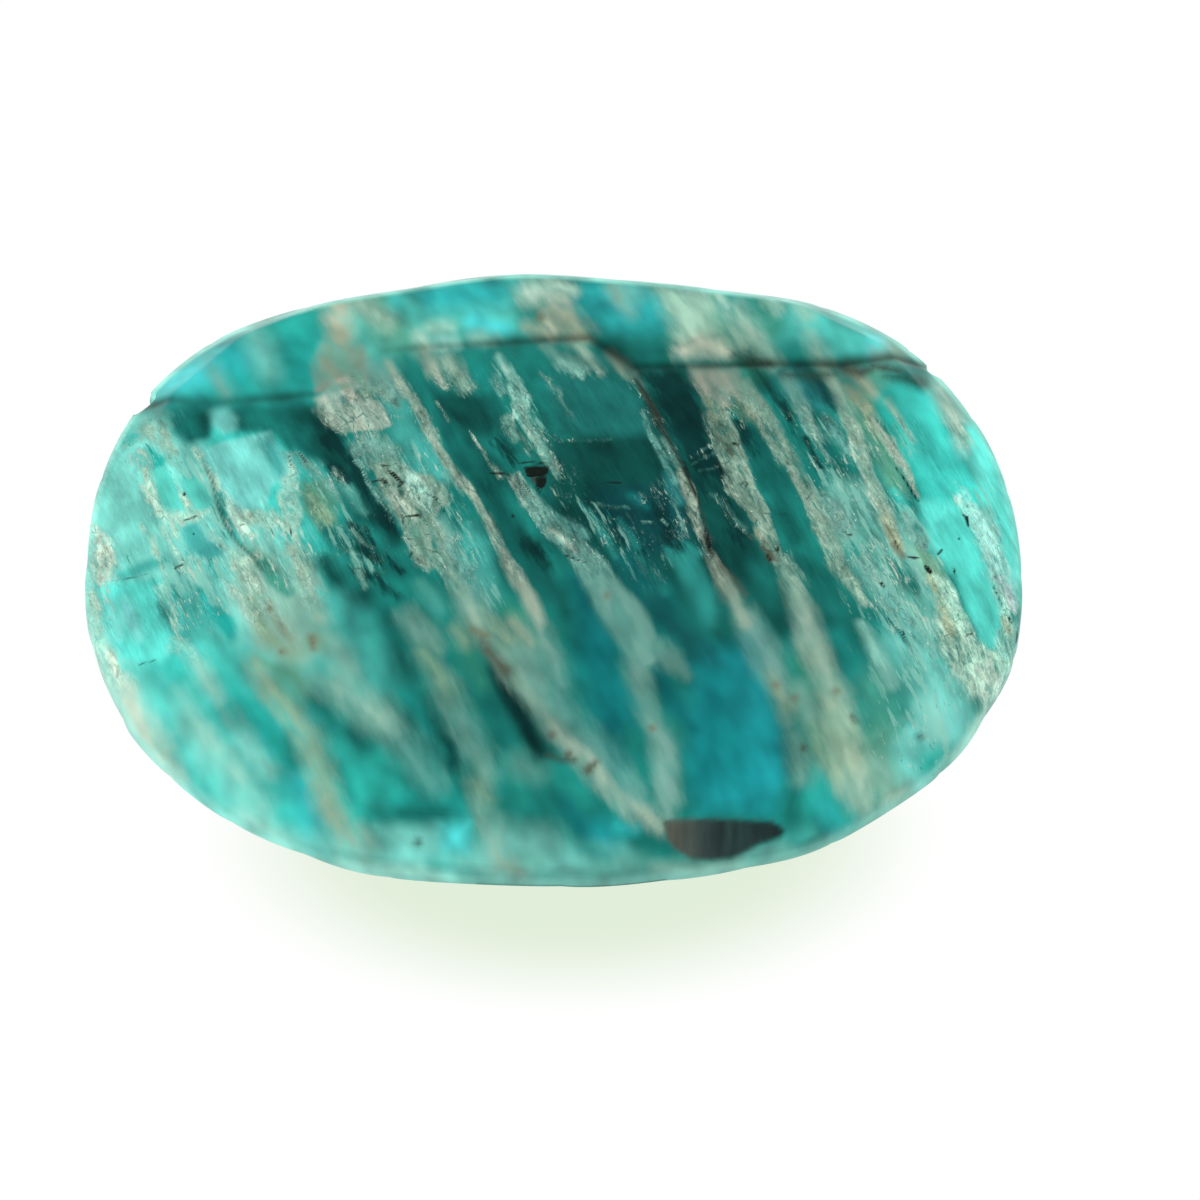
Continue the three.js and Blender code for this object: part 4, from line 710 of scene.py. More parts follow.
SLITS = {
    "pit bar": (1.4, [(523, 467), (536, 466), (549, 467), (548, 474), (542, 477), (527, 475)]),
    "pit lid": (1.2, [(518, 463, 0.8), (534, 462, 1), (551, 464, 0.8)]),
    "pit foot": (1.4, [(535, 478), (547, 477), (546, 485), (541, 489), (536, 485)]),
    "pit tick": (1.1, [(520, 478, 0.8), (525, 485, 1.2), (531, 494, 1)]),
    "pit tick two": (1.1, [(536, 488, 1), (540, 492, 1)]),
    "pit tick three": (1.1, [(543, 494, 0.6), (547, 500, 0.6)]),
    "slit by pit": (1.2, [(490, 473, 1), (508, 474, 1.5)]),
    "middle slit": (1, [(606, 482, 0.8), (621, 483, 1)]),
    "dot": (1.2, [(513, 516, 2)]),
    "left slit": (1, [(183, 521, 0.8), (197, 516, 1)]),
    "left dot": (1, [(184, 494, 2.2)]),
    "left dot two": (1, [(194, 534, 1.4)]),
    "left cleavage": (1, [(105, 582, 0.4), (125, 579, 0.5), (148, 574, 0.5)]),
    "knot crack": (1, [(300, 454, 1.6), (306, 462, 1.6)]),
    "knot crack two": (1, [(289, 455, 0.8), (291, 466, 1)]),
    "knot crack three": (1, [(289, 526, 1), (292, 536, 1)]),
    "band pits one": (1.2, [(387, 470, 1.2), (393, 474, 2.4), (398, 479, 2.2), (402, 483, 1.6)]),
    "band pits ring": (1.2, [(382, 466, 0.8), (388, 462, 1), (396, 464, 1), (402, 470, 0.8)]),
    "band pits arm": (1.1, [(398, 487, 1), (404, 482, 1.4)]),
    "band pits two": (1.1, [(384, 479, 1.2), (389, 486, 1.4)]),
    "foot crack": (1.1, [(371, 482, 0.8), (380, 480, 1), (386, 484, 1)]),
    "foot crack two": (1.1, [(379, 463, 0.8), (383, 467, 1)]),
    "band crack": (1.1, [(418, 496, 1.4), (420, 501, 0.8)]),
    "band crack top": (1.1, [(426, 493, 0.6), (432, 496, 0.9), (437, 499, 1.4)]),
    "band crack side": (1.1, [(438, 502, 0.5), (442, 508, 0.7), (444, 511, 1)]),
    "band crack two": (1.1, [(402, 519, 1), (405, 526, 1.2), (405, 531, 1)]),
    "band crack lid": (1.1, [(405, 516, 0.6), (412, 516, 0.8), (419, 515, 1.7), (421, 518, 0.8)]),
    "band crack low": (1.1, [(424, 521, 0.8), (428, 526, 0.6)]),
    "band crack foot": (1.1, [(408, 539, 0.6), (418, 540, 0.6)]),
    "band crack hook": (1.1, [(411, 545, 0.7), (412, 553, 1), (410, 557, 0.8)]),
    "band crack end": (1.1, [(428, 550, 0.6), (436, 552, 0.8), (442, 554, 0.5)]),
    "second band dot": (1.1, [(438, 464, 1.4)]),
    "fourth crack": (1.1, [(539, 510, 0.6), (541, 516, 1), (543, 524, 0.6)]),
    "fourth crack two": (1, [(565, 555, 1), (586, 563, 0.8)]),
    "fifth black": (1.2, [(684, 462, 1), (688, 474, 1.4), (692, 484, 1), (697, 498, 1), (699, 508, 0.8)]),
    "fifth black low": (1.4, [(705, 530, 1.2), (709, 540, 2), (709, 550, 1.4)]),
    "sixth edge": (1.2, [(720, 468, 0.8), (722, 476, 1)]),
    "sixth dots": (1.1, [(733, 443, 1.4), (738, 445, 1.4)]),
    "sixth dot two": (1.1, [(730, 466, 1)]),
    "sixth dot three": (1.1, [(741, 485, 0.8), (743, 481, 0.6)]),
    "sixth dot four": (1.1, [(747, 483, 1.5), (746, 488, 0.8)]),
    "sixth dot five": (1.1, [(751, 504, 1)]),
    "sixth dot six": (1.1, [(754, 517, 1.2), (757, 521, 0.8)]),
    "rust eye core": (1.4, [(767, 555, 1.6), (770, 560, 1.6)]),
    "rust eye side": (1.2, [(777, 546, 2), (779, 555, 1.2)]),
    "cleavage end": (1.1, [(175, 568, 1.2), (184, 564, 0.8)]),
    "left slit low": (1, [(138, 665, 0.6), (155, 660, 0.8)]),
    "right line": (1, [(896, 468, 0.8), (905, 480, 1.2), (912, 492, 1.2), (918, 501, 1.4)]),
    "right slit": (1, [(908, 557, 0.8), (914, 558, 1.6), (919, 558, 0.8)]),
    "right pit one": (1, [(926, 567, 2.2), (930, 572, 2.4)]),
    "right pit two": (1, [(881, 583, 1.8), (884, 587, 1.4)]),
    "right pit three": (1, [(963, 512, 1.4), (966, 516, 2.2), (968, 526, 1.4)]),
    "right pit four": (1, [(938, 554, 1.2), (942, 550, 1.4)]),
    "right pit five": (1, [(959, 539, 1.4)]),
    "right pit six": (1, [(953, 567, 1.2), (956, 576, 1.2)]),
    "right pit seven": (1, [(996, 577, 1.6)]),
    "right pit eight": (1, [(993, 586, 1), (998, 596, 0.8), (1004, 610, 0.8)]),
    "right pit nine": (1, [(1008, 616, 1.4), (1011, 623, 1.4)]),
    "right pit ten": (1, [(1009, 630, 1.4)]),
    "right pit eleven": (1, [(966, 636, 1.2), (973, 633, 0.8)]),
    "right tick one": (1, [(895, 541, 1.2), (898, 548, 1)]),
    "right tick two": (1, [(842, 530, 0.8), (850, 536, 1), (852, 534, 0.8)]),
    "right tick three": (1, [(806, 499, 0.8), (812, 493, 0.6)]),
    "right edge black": (1, [(1017, 632, 1), (1017, 646, 1.2)]),
    "sixth slit": (1, [(778, 514, 0.6), (788, 514, 0.8)]),
}
SKIN = (2.5, [
    (664, 822), (690, 820), (772, 823), (784, 830), (780, 836), (760, 843), (745, 851), (730, 858),
    (712, 860), (692, 858), (676, 849), (668, 838)])
# its colour by place across the sheet
SKIN_TINTS = [
    (664, 0.105, 0.112, 0.088), (684, 0.078, 0.095, 0.08), (702, 0.04, 0.064, 0.06),
    (735, 0.026, 0.056, 0.053), (775, 0.012, 0.025, 0.025),
]

# ---- crumbled zones, full of pale flecks: share covered, softness, route ----
CRUMBLE = {
    "left": (0.85, 22, [(150, 450, 22), (190, 500, 36), (220, 550, 40), (180, 600, 30)]),
    "fourth head": (0.6, 12, [(505, 375, 8), (522, 405, 12), (536, 440, 14)]),
    "first head": (0.5, 12, [(372, 446, 12), (400, 470, 16), (420, 500, 14)]),
    "ice pane foot": (0.6, 16, [(240, 480, 22), (262, 520, 24), (290, 560, 30)]),
    "green field": (0.4, 16, [(320, 480, 14), (345, 530, 22), (370, 560, 14)]),
    "left rim": (0.5, 20, [(110, 560, 20), (100, 620, 20)]),
    "between the first bands": (0.5, 16, [(420, 460, 16), (450, 530, 18), (480, 590, 16)]),
    "right of the pits": (0.45, 14, [(560, 480, 12), (600, 520, 14), (650, 560, 16)]),
    "right": (0.9, 24, [(830, 470, 20), (870, 520, 42), (900, 580, 40), (920, 640, 26)]),
    "low right": (0.7, 24, [(900, 650, 20), (930, 690, 30), (920, 740, 26)]),
    "right high": (0.5, 18, [(800, 420, 16), (860, 440, 24), (900, 440, 16)]),
    "right edge": (0.5, 18, [(970, 500, 20), (1000, 580, 16), (990, 640, 20)]),
    "blue grain": (0.7, 8, [(662, 490, 8), (680, 530, 9)]),
}

# panes that stay clear within them: softness, route
CALM = {
    "ice pane": (4, [(214, 452), (262, 438), (282, 462), (286, 482), (268, 490), (258, 506), (238, 506),
        (224, 490)]),
    "blue pane": (2.5, [(181, 527), (197, 523), (206, 540), (218, 548), (220, 556), (205, 558), (188, 550)]),
    "cyan pane": (3, [(152, 472), (164, 467), (176, 482), (184, 511), (168, 512), (158, 498)]),
    "cyan pane right": (3, [(184, 480), (196, 476), (208, 492), (212, 508), (198, 512), (188, 498)]),
    "cleft pane": (4, [(112, 590), (150, 584), (156, 606), (176, 640), (150, 664), (120, 658)]),
    "cyan tongue": (3, [(948, 514), (966, 522), (988, 568), (1002, 617), (1002, 643), (986, 646), (970, 617),
        (952, 568)]),
}

# ---- how crisp the grain shows: sharp in the belt that the polish cuts, veiled beyond it ----
CRISP_FADE = (34.0, 25.0, 30.0)  # below the ceiling, and above and below the floor
# the belt's ceiling and floor: across, down
CRISP_CEILING = [
    (150, 405), (300, 400), (345, 370), (480, 352), (600, 354), (700, 374), (850, 388), (950, 405),
]
CRISP_FLOOR = [
    (90, 690), (200, 650), (300, 610), (400, 590), (500, 575), (650, 568), (780, 570), (850, 600),
    (900, 650), (960, 700),
]
VEIL_SOFTENING = 1.1  # how much softer a marking's edge gets beyond the belt
FRAY = 6.0  # how far the grain pushes a band's edge in the belt, in units of its softness
FRAY_VEILED = 1.2  # and beyond it

# ---- the grain itself ----
GRAIN_TURN = math.radians(-23.0)  # turns the bands' run in plan onto -Y
# name: features to a millimetre across the bands, along them and up, then the noise's detail and roughness
GRAINS = {
    "fibre": ((4.5, 0.9, 2.0), 6.0, 0.68), "body": ((2.2, 0.8, 1.5), 1.5, 0.5),
    "gap": ((8.0, 1.5, 3.5), 4.0, 0.65), "tear": ((5.3, 1.0, 2.2), 6.0, 0.7),
    "veil": ((1.4, 0.8, 1.0), 1.5, 0.5), "streak": ((3.4, 0.6, 1.5), 7.0, 0.72),
    "thread": ((8.0, 1.0, 3.0), 5.0, 0.7), "needle": ((5.0, 0.7, 2.2), 4.0, 0.62),
    "splinter": ((10.0, 1.5, 4.5), 4.0, 0.65), "cluster": ((1.3, 0.7, 1.0), 3.0, 0.6),
    "split": ((8.0, 0.9, 3.5), 5.0, 0.68), "fine": ((12.0, 6.0, 10.0), 4.0, 0.75),
    "weave": ((5.5, 1.6, 3.0), 6.0, 0.7), "painted glint": ((11.0, 5.0, 9.0), 3.0, 0.7),
    "pit": ((9.0, 4.0, 7.0), 3.0, 0.7), "curl": ((5.5, 1.1, 2.5), 3.0, 0.55),
    "skin": ((3.2, 0.5, 0.5), 2.0, 0.5),
}
CRYSTAL_SIZE = (5.0, 2.4, 4.0)  # also in features to a millimetre
CRACK_SIZE = (3.4, 1.7, 3.0)
# name: the value of its noise or mask at which it starts to show, and the one at which it is full
SHOWS = {
    "body": (0.36, 0.62), "gap": (0.47, 0.36), "thread": (0.55, 0.66), "zone": (0.0, 0.35),
    "needle": (0.58, 0.66), "splinter": (0.62, 0.68), "cluster": (0.46, 0.6), "split": (0.4, 0.33),
    "painted glint": (0.64, 0.7), "pit": (0.35, 0.29), "crack": (0.06, 0.0), "cracked weave": (0.5, 0.6),
    "filament": (0.018, 0.004), "crisp filament": (0.5, 1.0), "stain": (0.0, 0.15),
    "outer edge": (-1.6, -0.4), "inner edge": (2.6, 0.8),
}
# name: how strongly it shows, or how far its noise swings the colour
SHARES = {
    "body": 0.36, "thin body": 0.62, "gap": 0.65, "deep": 0.88, "torn deep": 1.2,
    "veil on teal": 1.4, "veil on albite": 0.7, "streak": 1.2, "crumbled streak": 1.3,
    "thread": 0.2, "crumbled thread": 0.5, "thread light": 0.8, "needle": 0.75, "needle dew": 0.7,
    "needle growth": 0.1, "splinter": 0.8, "splinter growth": 0.08, "split": 0.65,
    "crystal faces": 0.4, "fine grit": 1.3, "weave": 3.0, "crack": 0.7, "pit": 0.6,
    "filament": 0.6, "crumbled filament": 0.7, "stain": 0.95, "stain grit": 0.5, "skin grain": 1.6,
}
DARKEST_TEAL = 0.25  # the share of its brightness that the grain leaves everywhere
DARKEST_ALBITE = 0.2

# ---- polish ----
FELDSPAR_IOR = 1.53
POLISH_SPECULAR = 0.06
TEAL_ROUGHNESS = 0.3
ALBITE_DULLNESS = 0.16  # how much rougher than the teal it is
SKIN_DULLNESS = 0.4
RELIEF_STRENGTH = 0.12
RELIEF_DEPTH = 0.05
ALBITE_RELIEF = 0.5  # beside the natural skin's
WHITE = (1.0, 1.0, 1.0)
MIX_UNDER, MIX_OVER, MIX_RESULT = 6, 7, 2  # the mix node's colour sockets

# ---- painted light that the stone's thin ends and near side let through ----
END_GLOW = 0.2
END_GLOW_SPREAD = (230.0, 430.0)  # start and end of the rise, from the sheet's middle
NEAR_GLOW = 0.32
NEAR_GLOW_SPREAD = (700.0, 850.0)  # down the sheet

# ---- the rim's painted glow ----
RIM_WIDTH_FAR = 6.0
RIM_WIDTH_NEAR = 12.0
RIM_GLOW_FAR = 0.9
RIM_GLOW_NEAR = 0.45
RIM_NEAR_TO_FAR = (-3.0, 5.0)  # the Y at which the near rim ends and the far one starts
RIM_FADE = (0.3, 1.0)  # shares of its width
RIM_FACING = (-0.3, 0.05)  # it needs a surface that is turned at least this far to the sheet
RIM_RIGHT = (8.5, 11.5, 0.5)  # start and end of the right end, and how much fainter the rim glows there

# ---- table, lamps, sight ----
TABLE_REACH = 0.9  # metres, as the two lengths below
LAMP_DISTANCE = 0.5
LAMP_SIZE = 0.35
LAMP_SHARE = 0.56  # of full white, on a face turned to the lamp
LAMPS = {"left lamp": (-0.75, -0.1, 0.75), "right lamp": (0.75, 0.05, 0.75)}  # name: direction
ROOM_STRENGTH = 0.3
TABLE_WHITE = (1.02, 1.02, 1.02)
TABLE_SHADE_MIDDLE = (0.4, -4.6)  # middle of the painted shadow under the stone, tinted by the light that leaves the stone
TABLE_SHADE_HALF = (9.2, 5.6)
TABLE_SHADE_FADE = (1.15, 0.55)  # shares of its half size
# the painted shadow's pale green tint
TABLE_SHADE_TINT = (0.757, 0.857, 0.7)
NEAREST_SIGHT = 1.0  # nothing nearer to the camera than this shows


def smooth_step(low, high, value):
    share = np.clip((value - low) / (high - low), 0.0, 1.0)
    return share * share * (3.0 - 2.0 * share)


# ======== the form ========
def facet_planes(node):
    """Outward normals of the polished facets, and their distances from the heart."""
    mesh = node.data
    mesh.calc_loop_triangles()
    places = np.array([tuple(vertex.co) for vertex in mesh.vertices]) / MM
    corners = np.array([tuple(face.vertices) for face in mesh.loop_triangles])
    first, second, third = places[corners].transpose(1, 0, 2)
    normals = np.cross(second - first, third - first)
    areas = np.linalg.norm(normals, axis=1)
    wide = areas > SLIVER_AREA
    normals = normals[wide] / areas[wide][:, None]
    reaches = (normals * first[wide]).sum(axis=1)
    outermost = (places @ normals.T).max(axis=0) <= reaches + PLANE_SLACK
    planes = np.column_stack([normals, reaches])[outermost]
    _, kept = np.unique(np.round(planes, PLANE_DECIMALS), axis=0, return_index=True)
    planes = planes[np.sort(kept)]
    return planes[:, :3], planes[:, 3] - planes[:, :3] @ HEART


def polished_surface(outward, normals, reaches):
    """Points of the polished surface in the given directions from the heart."""
    outward = outward / np.linalg.norm(outward, axis=1)[:, None]
    nearness = outward @ (normals / reaches[:, None]).T
    nearest = nearness.max(axis=1, keepdims=True)
    rounding = (np.clip(nearness / nearest, 0.0, None) ** EDGE_SHARPNESS).sum(axis=1)
    radius = 1.0 / (nearest[:, 0] * rounding ** (1.0 / EDGE_SHARPNESS))
    return HEART + outward * radius[:, None]


def disc_grid(cells):
    """Points of a round disc on a grid of cells, row by row."""
    across = np.linspace(-1.0, 1.0, cells[0] + 1)
    along = np.linspace(-1.0, 1.0, cells[1] + 1)
    a, b = np.meshgrid(across, along)
    wide = np.abs(a) > np.abs(b)
    long_side = np.where(wide, a, b)
    short_side = np.where(wide, b, a)
    share = np.divide(short_side, long_side, out=np.zeros_like(a), where=long_side != 0)
    angle = np.where(wide, share * math.pi / 4, math.pi / 2 - share * math.pi / 4)
    return np.column_stack([(long_side * np.cos(angle)).ravel(), (long_side * np.sin(angle)).ravel()])


def grid_index(cells):
    """A grid's point numbers, in rows."""
    columns, rows = cells[0] + 1, cells[1] + 1
    return np.arange(columns * rows).reshape(rows, columns)


def rim_of(cells):
    """Numbers of a grid's outer points, in order round it."""
    index = grid_index(cells)
    return np.concatenate([index[0, :-1], index[:-1, -1], index[-1, :0:-1], index[:0:-1, 0]])


def grid_faces(cells, upward):
    index = grid_index(cells)
    corners = [index[:-1, :-1], index[:-1, 1:], index[1:, 1:], index[1:, :-1]]
    faces = np.stack([corner.ravel() for corner in corners], axis=1)
    return faces if upward else faces[:, ::-1]


def stone_outline(plan, normals, reaches):
    """Spreads points of the unit disc over the stone's outline in plan."""
    upright = np.abs(normals[:, 2]) < UPRIGHT_LEAN
    radius = np.linalg.norm(plan, axis=1)
    direction = plan / np.where(radius > 0, radius, 1.0)[:, None]
    nearness = (direction @ (normals[upright, :2] / reaches[upright][:, None]).T).max(axis=1)
    return plan / np.where(nearness > 0, nearness, 1.0)[:, None]


def outline_swell(normals, reaches):
    """How much further out than its flat facets the hand-ground outline runs, by angle about Z."""
    upright = np.flatnonzero(np.abs(normals[:, 2]) < UPRIGHT_LEAN)
    turns = np.arctan2(normals[upright, 1], normals[upright, 0])
    upright, turns = upright[np.argsort(turns)], np.sort(turns)
    apart = (turns - np.roll(turns, 1)) % (2 * math.pi) > SAME_FLAT_TURN
    upright = upright[apart]
    flats = normals[upright, :2]
    corners = np.array([
        np.linalg.solve(np.stack([flats[i - 1], flats[i]]), [reaches[upright[i - 1]], reaches[upright[i]]])
        for i in range(len(upright))
    ])
    before, after, beyond = np.roll(corners, 1, 0), np.roll(corners, -1, 0), np.roll(corners, -2, 0)
    curve = []
    # a smooth curve through the corners, each stretch bent by the corners on both sides of it
    for share in np.linspace(0.0, 1.0, SWELL_STEPS, endpoint=False):
        bend = (2.0 * before - 5.0 * corners + 4.0 * after - beyond) * share ** 2
        bend += (3.0 * corners - before - 3.0 * after + beyond) * share ** 3
        curve.append(0.5 * (2.0 * corners + (after - before) * share + bend))
    curve = np.concatenate(curve)
    angle = np.arctan2(curve[:, 1], curve[:, 0])
    radius = np.linalg.norm(curve, axis=1)
    direction = curve / radius[:, None]
    flat_radius = 1.0 / (direction @ (flats / reaches[upright][:, None]).T).max(axis=1)
    order = np.argsort(angle)
    return angle[order], (radius / flat_radius)[order] * SWELL_TRIM


def swollen(vertices, normals, reaches):
    """The stone with its girdle and bevel swollen from flats to a round outline."""
    angles, swells = outline_swell(normals, reaches)
    angle = np.arctan2(vertices[:, 1], vertices[:, 0])
    swell = np.interp(angle, angles, swells, period=2 * math.pi)
    above = smooth_step(BEVEL_TOP, GIRDLE_TOP, vertices[:, 2])
    below = smooth_step(LOWER_BEVEL_FOOT, GIRDLE_FOOT, vertices[:, 2])
    share = np.where(vertices[:, 2] > HEART[2], above, below)
    vertices = vertices.copy()
    vertices[:, :2] *= (1.0 + share * (swell - 1.0))[:, None]
    return vertices


def facet_heights(plan, normals, reaches, upward):
    """Heights over the heart of the sharp facets, at places in plan."""
    facing = normals[:, 2] > LEVEL_LEAN if upward else normals[:, 2] < -LEVEL_LEAN
    leaning = normals[facing]
    heights = (reaches[facing] - plan @ leaning[:, :2].T) / leaning[:, 2]
    return heights.min(axis=1) if upward else heights.max(axis=1)


def stone_skin(node):
    """Vertices and faces of the polished stone, closed."""
    normals, reaches = facet_planes(node)
    crown_plan = stone_outline(disc_grid(CROWN_CELLS), normals, reaches)
    crown_ray = np.column_stack([crown_plan, facet_heights(crown_plan, normals, reaches, True)])
    rim = rim_of(CROWN_CELLS)
    crown_ray[rim, 2] = GIRDLE_TOP - HEART[2]
    rows = []
    for row in range(1, GIRDLE_ROWS + 1):
        level = GIRDLE_TOP - (GIRDLE_TOP - GIRDLE_FOOT) * row / GIRDLE_ROWS
        rows.append(np.column_stack([crown_plan[rim], np.full(len(rim), level - HEART[2])]))
    under_plan = stone_outline(disc_grid(UNDERSIDE_CELLS), normals, reaches) * UNDERSIDE_INSET
    under_ray = np.column_stack([under_plan, facet_heights(under_plan, normals, reaches, False)])
    outward = np.concatenate([crown_ray, *rows, under_ray])
    vertices = swollen(polished_surface(outward, normals, reaches), normals, reaches)

    count = len(crown_ray)
    faces = [grid_faces(CROWN_CELLS, True)]
    upper = rim
    for row in range(GIRDLE_ROWS):
        lower = count + row * len(rim) + np.arange(len(rim))
        faces.append(np.stack([upper, lower, np.roll(lower, -1), np.roll(upper, -1)], axis=1))
        upper = lower
    under_start = count + GIRDLE_ROWS * len(rim)
    faces.append(grid_faces(UNDERSIDE_CELLS, False) + under_start)
    quads = [face for part in faces for face in part.tolist()]
    foot = under_start + rim_of(UNDERSIDE_CELLS)
    return vertices, quads + stitched(upper, foot)


def stitched(fine, coarse):
    """Triangles between a ring of points and one with half as many, below it."""
    faces = []
    for i in range(len(coarse)):
        left, right = int(coarse[i]), int(coarse[(i + 1) % len(coarse)])
        start, middle, end = (int(fine[(2 * i + k) % len(fine)]) for k in range(3))
        faces += [(start, left, middle), (left, right, middle), (right, end, middle)]
    return faces


# ======== noise ========
class CloudNoise:
    """Smooth random values from -1 to 1 over a plane, the same on each run."""

    SIZE = 64

    def __init__(self, seed):
        self.values = np.random.default_rng(seed).uniform(-1.0, 1.0, (self.SIZE, self.SIZE))

    def row(self, level, left, u):
        """Values along one row of the grid."""
        row, wrap = level % self.SIZE, self.SIZE
        return self.values[row, left % wrap] * (1 - u) + self.values[row, (left + 1) % wrap] * u

    def __call__(self, across, down):
        left, top = np.floor(across).astype(int), np.floor(down).astype(int)
        u, v = smooth_step(0, 1, across - left), smooth_step(0, 1, down - top)
        return self.row(top, left, u) * (1 - v) + self.row(top + 1, left, u) * v


# ======== relief ========
def lump_axes(turn, lean):
    """The axes of a lump that leans about X and is then turned about Z."""
    return np.array(Matrix.Rotation(turn, 3, "Z") @ Matrix.Rotation(lean, 3, "X"))


def sink(vertices, noise, lump, inward, lean=0.0):
    """Moves the points inside a lump along `inward` until they lie on its wall."""
    place, half_sizes, turn = lump
    half_sizes = np.array(half_sizes)
    axes = lump_axes(turn, lean)
    offset = (vertices - np.array(place)) @ axes / half_sizes
    uneven = noise(vertices[:, 0] * LUMP_WOBBLE, vertices[:, 1] * LUMP_WOBBLE)
    offset = offset * (1.0 + LUMP_UNEVENNESS * uneven)[:, None]
    step = inward @ axes / half_sizes
    a = np.maximum((step * step).sum(axis=1), TINY)
    b = (offset * step).sum(axis=1)
    c = (offset * offset).sum(axis=1) - 1.0
    travel = (-b + np.sqrt(np.clip(b * b - a * c, 0.0, None))) / a
    inside = c < 0.0
    vertices[inside] += (inward * travel[:, None])[inside]


def leg_gap(points, start, leg):
    """Each point's share of the way along a straight leg, and its distance from the leg."""
    length = leg @ leg
    share = np.clip(((points - start) @ leg) / length, 0.0, 1.0) if length > 0 else np.zeros(len(points))
    return share, np.linalg.norm(points - start - share[:, None] * leg, axis=1)


def route_distance(points, route):
    """Distance in plan from each point to a route."""
    nearest = np.full(len(points), np.inf)
    for start, end in zip(route, route[1:]):
        _, gap = leg_gap(points, np.array(start), np.array(end) - np.array(start))
        nearest = np.minimum(nearest, gap)
    return nearest


def crown_height_at(vertices, x, y):
    above = vertices[:, 2] > GIRDLE_TOP
    nearest = np.argmin(np.hypot(vertices[above, 0] - x, vertices[above, 1] - y))
    return vertices[above][nearest, 2]


def carve(vertices):
    """Cuts the fracture, pits, chips and the hollow of the natural skin."""
    noise = CloudNoise(LUMP_SEED)
    crown = vertices[:, 2] > GIRDLE_TOP - FRACTURE_LEDGE
    groove = route_distance(vertices[:, :2], FRACTURE_ROUTE)
    stations, _, strengths = np.array(FRACTURE_SHADE_AND_DIRT).T
    depth = FRACTURE_DEPTH * (1.0 - smooth_step(0.0, 0.5 * FRACTURE_WIDTH, groove))
    depth *= np.interp(vertices[:, 0], stations, strengths)
    to_heart = HEART - vertices
    to_heart[:, 2] = 0.0
    to_heart /= np.maximum(np.linalg.norm(to_heart, axis=1), TINY)[:, None]
    vertices[crown, 2] -= depth[crown]
    down = np.tile([0.0, 0.0, -1.0], (len(vertices), 1))
    for (x, y), half_sizes, turn in HOLLOWS.values():
        sink(vertices, noise, ((x, y, crown_height_at(vertices, x, y)), half_sizes, turn), down)
    for chip in CHIPS.values():
        sink(vertices, noise, chip, to_heart)
    skin_out = lump_axes(SKIN_PATCH[2], SKIN_LEAN)[:, 2]
    sink(vertices, noise, SKIN_PATCH, np.tile(-skin_out, (len(vertices), 1)), SKIN_LEAN)


# ======== the drawing ========
def on_sheet(points):
    """Where points of the stone fall on the drawing sheet."""
    offset = points - SHEET_TARGET
    across = offset[:, 0]
    up = offset[:, 1] * math.sin(SHEET_RISE) + offset[:, 2] * math.cos(SHEET_RISE)
    near = offset[:, 2] * math.sin(SHEET_RISE) - offset[:, 1] * math.cos(SHEET_RISE)
    growth = SHEET_SCALE * SHEET_REACH / (SHEET_REACH - near)
    rolled_across = (across * math.cos(SHEET_ROLL) - up * math.sin(SHEET_ROLL)) * growth
    rolled_up = (across * math.sin(SHEET_ROLL) + up * math.cos(SHEET_ROLL)) * growth
    return np.column_stack([SHEET_MIDDLE[0] + rolled_across, SHEET_MIDDLE[1] - rolled_up])


def inside_stroke(places, route):
    """How far inside a brush stroke each place is; negative outside."""
    best = np.full(len(places), -np.inf)
    for start, end in zip(route, route[1:] if len(route) > 1 else route):
        origin = np.array(start[:2])
        share, gap = leg_gap(places, origin, np.array(end[:2]) - origin)
        best = np.maximum(best, start[2] + share * (end[2] - start[2]) - gap)
    return best


def inside_outline(places, route):
    """How far inside a closed outline each place is; negative outside."""
    nearest = np.full(len(places), np.inf)
    crossings = np.zeros(len(places), int)
    for start, end in zip(route, route[1:] + route[:1]):
        origin = np.array(start, float)
        leg = np.array(end, float) - origin
        nearest = np.minimum(nearest, leg_gap(places, origin, leg)[1])
        straddles = (start[1] > places[:, 1]) != (end[1] > places[:, 1])
        if leg[1] != 0:
            meets = origin[0] + (places[:, 1] - origin[1]) * leg[0] / leg[1]
            crossings += straddles & (places[:, 0] < meets)
    return np.where(crossings % 2 == 1, nearest, -nearest)


def crispness(places):
    """How clearly the grain shows at each place, 0 to 1."""
    rise, fade_above, fade_below = CRISP_FADE
    ceiling = np.interp(places[:, 0], *np.array(CRISP_CEILING).T)
    floor = np.interp(places[:, 0], *np.array(CRISP_FLOOR).T)
    belt = smooth_step(ceiling, ceiling + rise, places[:, 1])
    return belt * (1.0 - smooth_step(floor - fade_above, floor + fade_below, places[:, 1]))


def marking_field(places, softness, route):
    """The places near a marking, and how far inside it they are, in units of its softness."""
    brushed = len(route[0]) == 3
    corners = np.array([point[:2] for point in route], float)
    margin = NEARBY * softness + (max(point[2] for point in route) if brushed else 0.0)
    low, high = corners.min(axis=0) - margin, corners.max(axis=0) + margin
    near = np.flatnonzero(((places > low) & (places < high)).all(axis=1))
    softened = softness * (1.0 + VEIL_SOFTENING * (1.0 - crispness(places[near])))
    measure = inside_stroke if brushed else inside_outline
    return near, measure(places[near], route) / softened


def deepest_field(places, markings):
    """How far inside any of the markings each place is, in units of their softness."""
    deepest = np.full(len(places), -FIELD_LIMIT)
    for softness, route in markings.values():
        near, field = marking_field(places, softness, route)
        deepest[near] = np.maximum(deepest[near], np.clip(field, -FIELD_LIMIT, FIELD_LIMIT))
    return deepest


def draw_teal(places):
    """The teal's colour at each place."""
    teal = np.tile(TEALS["sea"], (len(places), 1))
    for pigment, softness, route in WINDOWS.values():
        near, field = marking_field(places, softness, route)
        cover = smooth_step(*EDGE, field)[:, None]
        teal[near] += cover * (np.array(TEALS[pigment]) - teal[near])
    return teal


